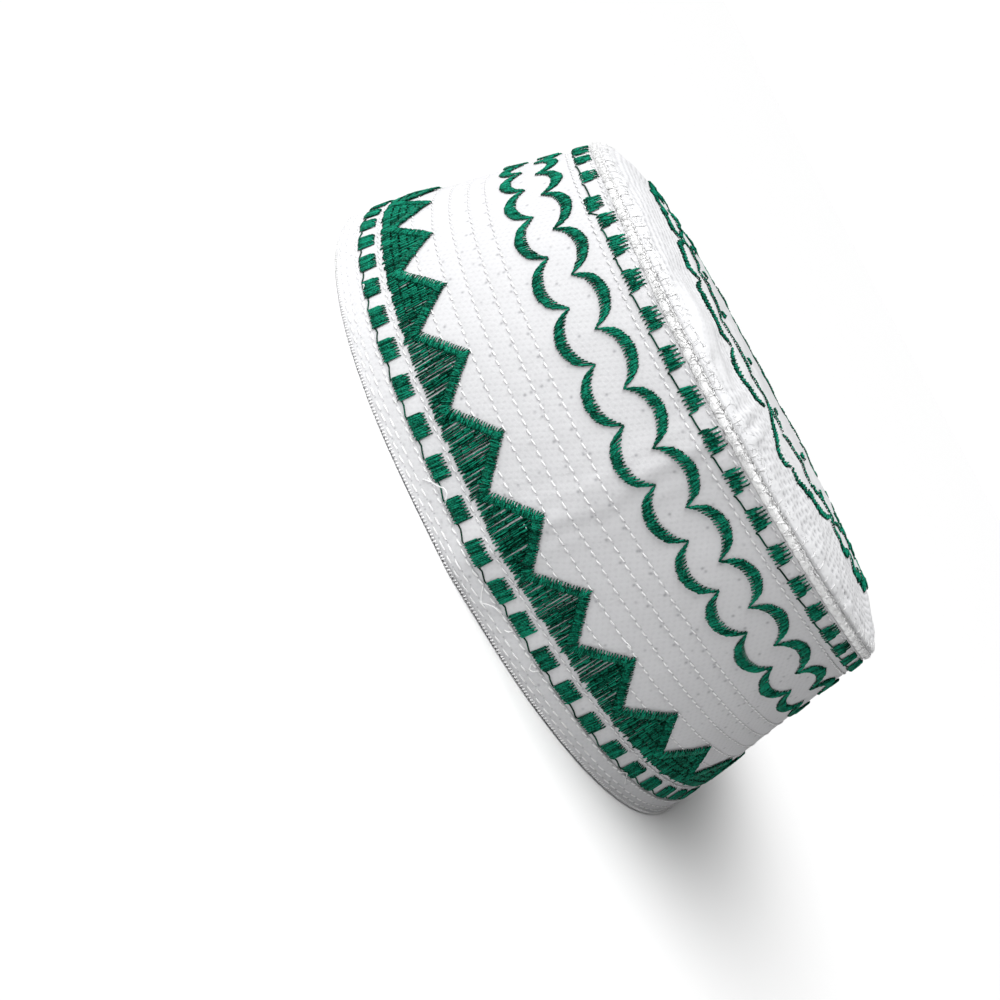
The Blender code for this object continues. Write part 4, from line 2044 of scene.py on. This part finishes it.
@dataclass
class CrownSeam(CapPart):
    """The raised seam between band and crown, as a soft roll of cloth."""

    columns: int = 1180
    sides: int = 12
    side_width: float = 0.7

    def build(self, roll: RollSurface) -> Piece:
        """Builds the roll of cloth.

        Args:
            roll: The seam's surface.

        Returns:
            The piece, which stands for the solid of the seam.
        """
        along = round_way(self.columns, roll.ring)
        turns = 360.0 * np.arange(self.sides) / self.sides - 180.0
        points = roll.ground(along[None, :], turns[:, None])
        rise = np.arange(self.sides) * self.side_width / roll.ring + 0.7
        mesh = ring_mesh(points, along / roll.ring + 0.5, rise, {"shade": 1.0, "tint": 1.0})
        piece = self.finish(mesh.piece("seam_roll"), self.finishes.white, "white_thread")
        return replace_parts(piece, "crown_seam")


@dataclass(frozen=True)
class Fluff:
    """Loose fibres of one kind. Sizes are in millimetres, and the zone is where they start across the seam.

    The reach is how far the highest stands off the surface, and the turning is how much a millimetre counts
    across the seam.
    """

    count: int
    length: Pair
    width: float
    reach: float
    zone: Pair
    turning: float


@dataclass
class SeamStitches(CapPart):
    """The overcast thread: a plaited ridge on the roll, legs down to the band and over the crown, and fluff.

    Lengths are in millimetres. Places across the seam are angles on the roll, or distances in on the crown.
    """

    plait: int = 400
    plait_reach: float = 2.9
    plait_width: float = 0.36
    plait_spread: float = 14.0
    ridge: float = 57.0
    leg_width: float = 0.34
    leg_slants: tuple[float, ...] = (-0.9, 1.1)
    leg_foot: Pair = (-38.0, 14.0)
    edge_slants: tuple[float, ...] = (0.3,)
    edge_foot: Pair = (1.5, 0.5)
    dense_share: float = 0.40
    dense_part: Pair = (-150.0, 12.0)
    roll_fluff: tuple[Fluff, ...] = (
        Fluff(640, (1.2, 3.4), 0.18, 0.45, (-62.0, 74.0), 38.0),
        Fluff(1900, (0.8, 2.2), 0.10, 0.7, (-62.0, 74.0), 38.0),
    )
    edge_fluff: tuple[Fluff, ...] = (
        Fluff(213, (1.2, 2.8), 0.16, 0.18, (0.1, 1.5), 1.0),
        Fluff(633, (0.8, 2.0), 0.09, 0.35, (0.1, 2.4), 1.0),
    )

    def build(self, roll: RollSurface, crown: CrownSurface) -> list[Piece]:
        """Builds the stitches.

        Args:
            roll: The seam's surface.
            crown: The crown's pattern, over whose edge some of the thread goes.

        Returns:
            The thread, the fluff on the roll and the fluff on the crown's edge.
        """
        thread = Strands(roll, 41)
        self.add_ridge(thread)
        self.add_legs(thread, self.leg_slants, self.leg_foot, self.ridge)
        fluff = Strands(roll, 42, 3)
        for kind in self.roll_fluff:
            self.add_fluff(fluff, kind)
        edge = Strands(crown, 43, 3)
        self.add_legs(edge, self.edge_slants, self.edge_foot, 0.0)
        for kind in self.edge_fluff:
            self.add_fluff(edge, kind)
        threads = {"seam_stitches": thread, "seam_fluff": fluff, "crown_edge_fluff": edge}
        return self.sewn(threads, self.finishes.white, "white_thread")

    def add_ridge(self, thread: Strands) -> None:
        """Adds the ridge: short threads that cross each other along the roll.

        Args:
            thread: Collects the threads.
        """
        rng = thread.rng
        pitch = thread.surface.ring / self.plait
        share = np.linspace(0.0, 1.0, 5)[None, :]
        start = pitch * np.arange(self.plait)[:, None] + rng.normal(0.0, 0.12, (self.plait, 1))
        side = np.where(np.arange(self.plait) % 2, 1.0, -1.0)[:, None]
        wander = 6.0 * np.sin(start / 9.0) + 5.0 * np.sin(start / 3.7)
        turn = self.ridge + wander + side * self.plait_spread * (1.0 - 2.0 * share)
        turn = turn + rng.normal(0.0, 3.0, start.shape)
        lift = 0.10 + 0.14 * np.sin(math.pi * share)
        shade = as_array([[0.5, 1.0, 1.0, 1.0, 0.5]])
        thread.add(start + self.plait_reach * share, turn, lift, self.plait_width, shade)

    def add_legs(self, thread: Strands, slants: Sequence[float], foot: Pair, top: float) -> None:
        """Adds legs of thread at an even pitch.

        Args:
            thread: Collects the legs.
            slants: How far each leg of a group leans along the seam.
            foot: Place of the feet across the seam, and its spread.
            top: Place of the other ends across the seam.
        """
        rng = thread.rng
        count = RollSurface.LEGS
        share = np.linspace(0.0, 1.0, 6)[None, :]
        start = thread.surface.ring / count * np.arange(count)[:, None] + rng.normal(0.0, 0.3, (count, 1))
        low = foot[0] + rng.normal(0.0, foot[1], (count, 1))
        bow = np.sin(math.pi * share)
        for slant in slants:
            reach = slant + rng.normal(0.0, 0.35, (count, 1))
            along = start + reach * share + rng.normal(0.0, 0.25, (count, 1)) * bow
            lift = 0.02 + (0.10 + 0.14 * rng.random((count, 1))) * bow
            shade = as_array([[0.3, 0.9, 1.0, 1.0, 1.0, 0.8]])
            thread.add(along, low + (top - low) * share, lift, self.leg_width, shade)

    def add_fluff(self, strands: Strands, kind: Fluff) -> None:
        """Adds loose fibres, which lie thicker on the -X side of the front.

        Args:
            strands: Collects the fibres.
            kind: Their number and sizes.
        """
        rng = strands.rng
        shape = (kind.count, 1)
        start = (rng.random(shape) - 0.5) * strands.surface.ring
        dense = rng.random(shape) < self.dense_share
        start = np.where(dense, rng.uniform(*self.dense_part, shape), start)
        share = np.linspace(0.0, 1.0, 5)[None, :]
        size = rng.uniform(*kind.length, shape)
        way = rng.uniform(0.0, math.tau, shape) + rng.normal(0.0, 1.1, shape) * share
        along = start + size * np.cumsum(np.cos(way), axis=1) / 5.0
        across = rng.uniform(*kind.zone, shape)
        across = across + kind.turning * size * np.cumsum(np.sin(way), axis=1) / 5.0
        spare = 0.1 * (kind.zone[1] - kind.zone[0])
        lift = 0.03 + kind.reach * rng.random(shape) ** 2 * np.sin(math.pi * share * 0.75)
        across = np.clip(across, kind.zone[0] - spare, kind.zone[1] + spare)
        strands.add(along, across, lift, kind.width, np.full((1, 5), 0.95))


@dataclass
class Quilting(CapPart):
    """The white running stitches of band and hem, the hem's edge stitches and loose ends."""

    band_lift: float = 0.13
    hem_lift: float = 0.34
    edge_stitches: int = 640
    edge_width: float = 0.44
    end_width: float = 0.30
    ends: tuple[Pairs, ...] = (
        ((-21.9, 3.9), (-20.6, 5.6), (-18.6, 7.0), (-17.4, 8.4), (-16.0, 8.2), (-13.9, 6.4)),
        ((7.2, 5.4), (8.6, 4.2), (10.6, 2.6), (11.4, 3.9), (13.2, 5.2), (16.2, 5.5)),
        ((19.4, 3.9), (20.1, 4.7), (20.6, 5.5)),
        ((30.0, 5.3), (31.0, 4.0), (31.9, 4.4), (32.8, 5.9)),
        ((73.6, 5.6), (75.1, 6.9), (77.0, 5.4), (79.4, 3.9)),
        ((36.0, 28.4), (36.6, 29.0), (37.8, 29.1), (38.8, 28.5)),
        ((-79.4, 6.3), (-78.9, 7.0), (-78.2, 7.0), (-77.8, 6.4)),
    )

    def build(self, band: BandSurface, pattern: Pattern) -> list[Piece]:
        """Builds the stitches.

        Args:
            band: The band's pattern.
            pattern: Where the rows lie.

        Returns:
            The pieces.
        """
        band_threads = RunningStrands(band, 51)
        hem_threads = RunningStrands(band, 52)
        for row in pattern.band_rows:
            band_threads.sew(row, self.band_lift)
        for row in pattern.hem_rows:
            hem_threads.sew(row, self.hem_lift)
        self.add_edge_stitches(hem_threads)
        self.add_loose_ends(hem_threads)
        threads = {"band_quilting": band_threads, "hem_quilting": hem_threads}
        return self.sewn(threads, self.finishes.white, "white_thread")

    def add_edge_stitches(self, strands: Strands) -> None:
        """Adds short upright stitches close together along the hem's edge.

        Args:
            strands: Collects the stitches.
        """
        rng = strands.rng
        place = round_way(self.edge_stitches, strands.surface.ring)[:, None]
        share = np.linspace(0.0, 1.0, 4)[None, :]
        along = place + rng.normal(0.0, 0.06, place.shape) + 0.25 * share
        height = -0.95 + 0.75 * share + rng.normal(0.0, 0.05, place.shape)
        lift = 0.32 + 0.16 * np.sin(math.pi * share)
        strands.add(along, height, lift, self.edge_width, as_array([[0.7, 1.0, 1.0, 0.7]]))

    def add_loose_ends(self, strands: Strands) -> None:
        """Adds the few ends of thread that stand off the cloth at the front.

        Args:
            strands: Collects the threads.
        """
        for end in self.ends:
            places, heights = columns_of(end)
            knots = np.arange(len(end))
            way = np.linspace(0.0, len(end) - 1.0, 10)
            along = np.interp(way, knots, places)
            height = np.interp(way, knots, heights)
            lift = 0.45 + 0.45 * np.sin(math.pi * np.linspace(0.0, 1.0, 10))
            strands.add(along[None], height[None], lift[None], self.end_width, np.full((1, 10), 1.0))


@dataclass
class Embroidery(CapPart):
    """All the green figures."""

    thread_sides: int = 3
    side_dark: float = 0.68

    def build(self, band: BandSurface, crown: CrownSurface, pattern: Pattern) -> list[Piece]:
        """Sews the figures.

        Args:
            band: The band's pattern.
            crown: The crown's pattern.
            pattern: Where the figures lie.

        Returns:
            The pieces.
        """
        sheets: dict[str, Strands] = {}

        def sheet(name: str, surface: SewnSurface, seed: int) -> SatinStrands:
            """Starts the threads of one piece."""
            sheets[name] = SatinStrands(surface, seed, self.thread_sides, self.side_dark)
            return sheets[name]

        links = sheet("dash_links", band, 61)
        pattern.low_dashes.sew(sheet("low_dashes", band, 62), links)
        pattern.top_dashes.sew(sheet("top_dashes", band, 63), links)
        fill = sheet("triangle_filling", band, 64)
        pattern.triangles.sew(fill, sheet("triangle_borders", band, 65))
        pattern.upper_scallops.sew(sheet("upper_scallops", band, 66))
        pattern.lower_scallops.sew(sheet("lower_scallops", band, 67))
        crown_threads = sheet("crown_scallops", crown, 68)
        for row in (pattern.crown_near, pattern.crown_far, pattern.crown_leaves):
            row.sew(crown_threads)
        return self.sewn(sheets, self.finishes.green, "green_thread")


class LightKind(Enum):
    """What each studio light is for."""

    KEY = "key"
    FILL = "fill"


@dataclass(frozen=True)
class StudioLight:
    """One soft light that is far enough away to fall evenly on the whole floor."""

    kind: LightKind
    direction: Triple
    softness: float
    strength: float

    def add(self) -> Piece:
        """Adds the light to the scene, shining from its direction towards the cap.

        Returns:
            The light.
        """
        data = bpy.data.lights.new(f"{self.kind.value}_light", "SUN")
        data.angle = math.radians(self.softness)
        data.energy = self.strength
        light = bpy.data.objects.new(data.name, data)
        light.location = self.direction
        light.rotation_euler = (-Vector(self.direction)).to_track_quat("-Z", "Y").to_euler()
        bpy.context.scene.collection.objects.link(light)
        return light


@dataclass
class Studio:
    """The floor, the light and the camera."""

    floor_side: float = 12.0
    floor_color: Color = (0.90, 0.90, 0.90, 1.0)
    floor_grain: Color = (0.8865, 0.8865, 0.8865, 1.0)
    ambient: float = 0.04
    seen_white: float = 1.05
    lights: tuple[StudioLight, ...] = (
        StudioLight(LightKind.KEY, (-0.555, -0.335, 0.76), 50.0, 4.60),
        StudioLight(LightKind.FILL, (0.80, -0.30, 0.50), 40.0, 0.10),
    )
    camera_place: Triple = (-0.02776, -0.474785, 0.12655)
    camera_right: Triple = (0.47846, 0.21129, 0.85231)
    camera_up: Triple = (-0.87685, 0.16701, 0.45083)
    camera_forward: Triple = (0.04709, 0.96305, -0.26518)
    lens: float = 61.2

    def add_floor(self) -> Piece:
        """Adds the plain floor.

        Returns:
            The floor.
        """
        bpy.ops.object.select_all(action="DESELECT")
        bpy.ops.mesh.primitive_plane_add(size=self.floor_side, location=(0.0, 0.0, 0.0))
        floor = bpy.context.active_object
        floor.name = "studio_floor"
        material, board, shader = new_material("pale_floor")
        grain = board.noise(board.add("ShaderNodeTexCoord").outputs["Object"], 30.0)
        color = board.blend(grain, self.floor_color, self.floor_grain)
        board.feed_all(shader, {"Base Color": color, "Roughness": 0.8, "Specular IOR Level": 0.1})
        floor.data.materials.append(material)
        return floor

    def add_world(self) -> None:
        """Adds the even light of the white room, brighter where the camera sees the room itself."""
        world = bpy.data.worlds.new("white_room")
        world.use_nodes = True
        bpy.context.scene.world = world
        board = NodeBoard(world.node_tree)
        background = world.node_tree.nodes["Background"]
        seen = board.add("ShaderNodeLightPath").outputs["Is Camera Ray"]
        strength = board.math("MULTIPLY_ADD", seen, self.seen_white - self.ambient, self.ambient)
        board.feed_all(background, {"Strength": strength, "Color": (1.0, 1.0, 1.0, 1.0)})

    def add_camera(self) -> Piece:
        """Adds the camera at the photograph's angle.

        Returns:
            The camera.
        """
        data = bpy.data.cameras.new("photo_camera")
        data.lens = self.lens
        data.sensor_width = 36.0
        data.clip_start = 0.01
        data.clip_end = 60.0
        camera = bpy.data.objects.new("photo_camera", data)
        columns = (Vector(self.camera_right), Vector(self.camera_up), -Vector(self.camera_forward))
        turn = Matrix([[column[axis] for column in columns] for axis in range(3)])
        camera.matrix_world = Matrix.Translation(self.camera_place) @ turn.to_4x4()
        bpy.context.scene.collection.objects.link(camera)
        bpy.context.scene.camera = camera
        return camera

    def build(self) -> None:
        """Sets up the whole studio."""
        bpy.context.scene.view_settings.view_transform = "Standard"
        self.add_floor()
        self.add_world()
        self.add_camera()
        for light in self.lights:
            light.add()
        LOG.info("studio: floor, %d lights and camera", len(self.lights))


def main() -> None:
    """Builds the cap piece by piece, and then the studio."""
    logging.basicConfig(level=logging.INFO, format="%(name)s: %(message)s")
    form = CapForm()
    pattern = Pattern()
    finishes = Finishes(pattern)
    band = BandSurface(form, pattern.band_rows + pattern.hem_rows)
    crown = CrownSurface(form, pattern.crown_rows)
    SideBand(form, finishes).build(band)
    HemStrip(form, finishes).build(band)
    CrownTop(form, finishes).build(crown)
    roll = RollSurface(band)
    CrownSeam(form, finishes).build(roll)
    SeamStitches(form, finishes).build(roll, crown)
    Quilting(form, finishes).build(band, pattern)
    Embroidery(form, finishes).build(band, crown, pattern)
    Studio().build()


if __name__ == "__main__":
    main()
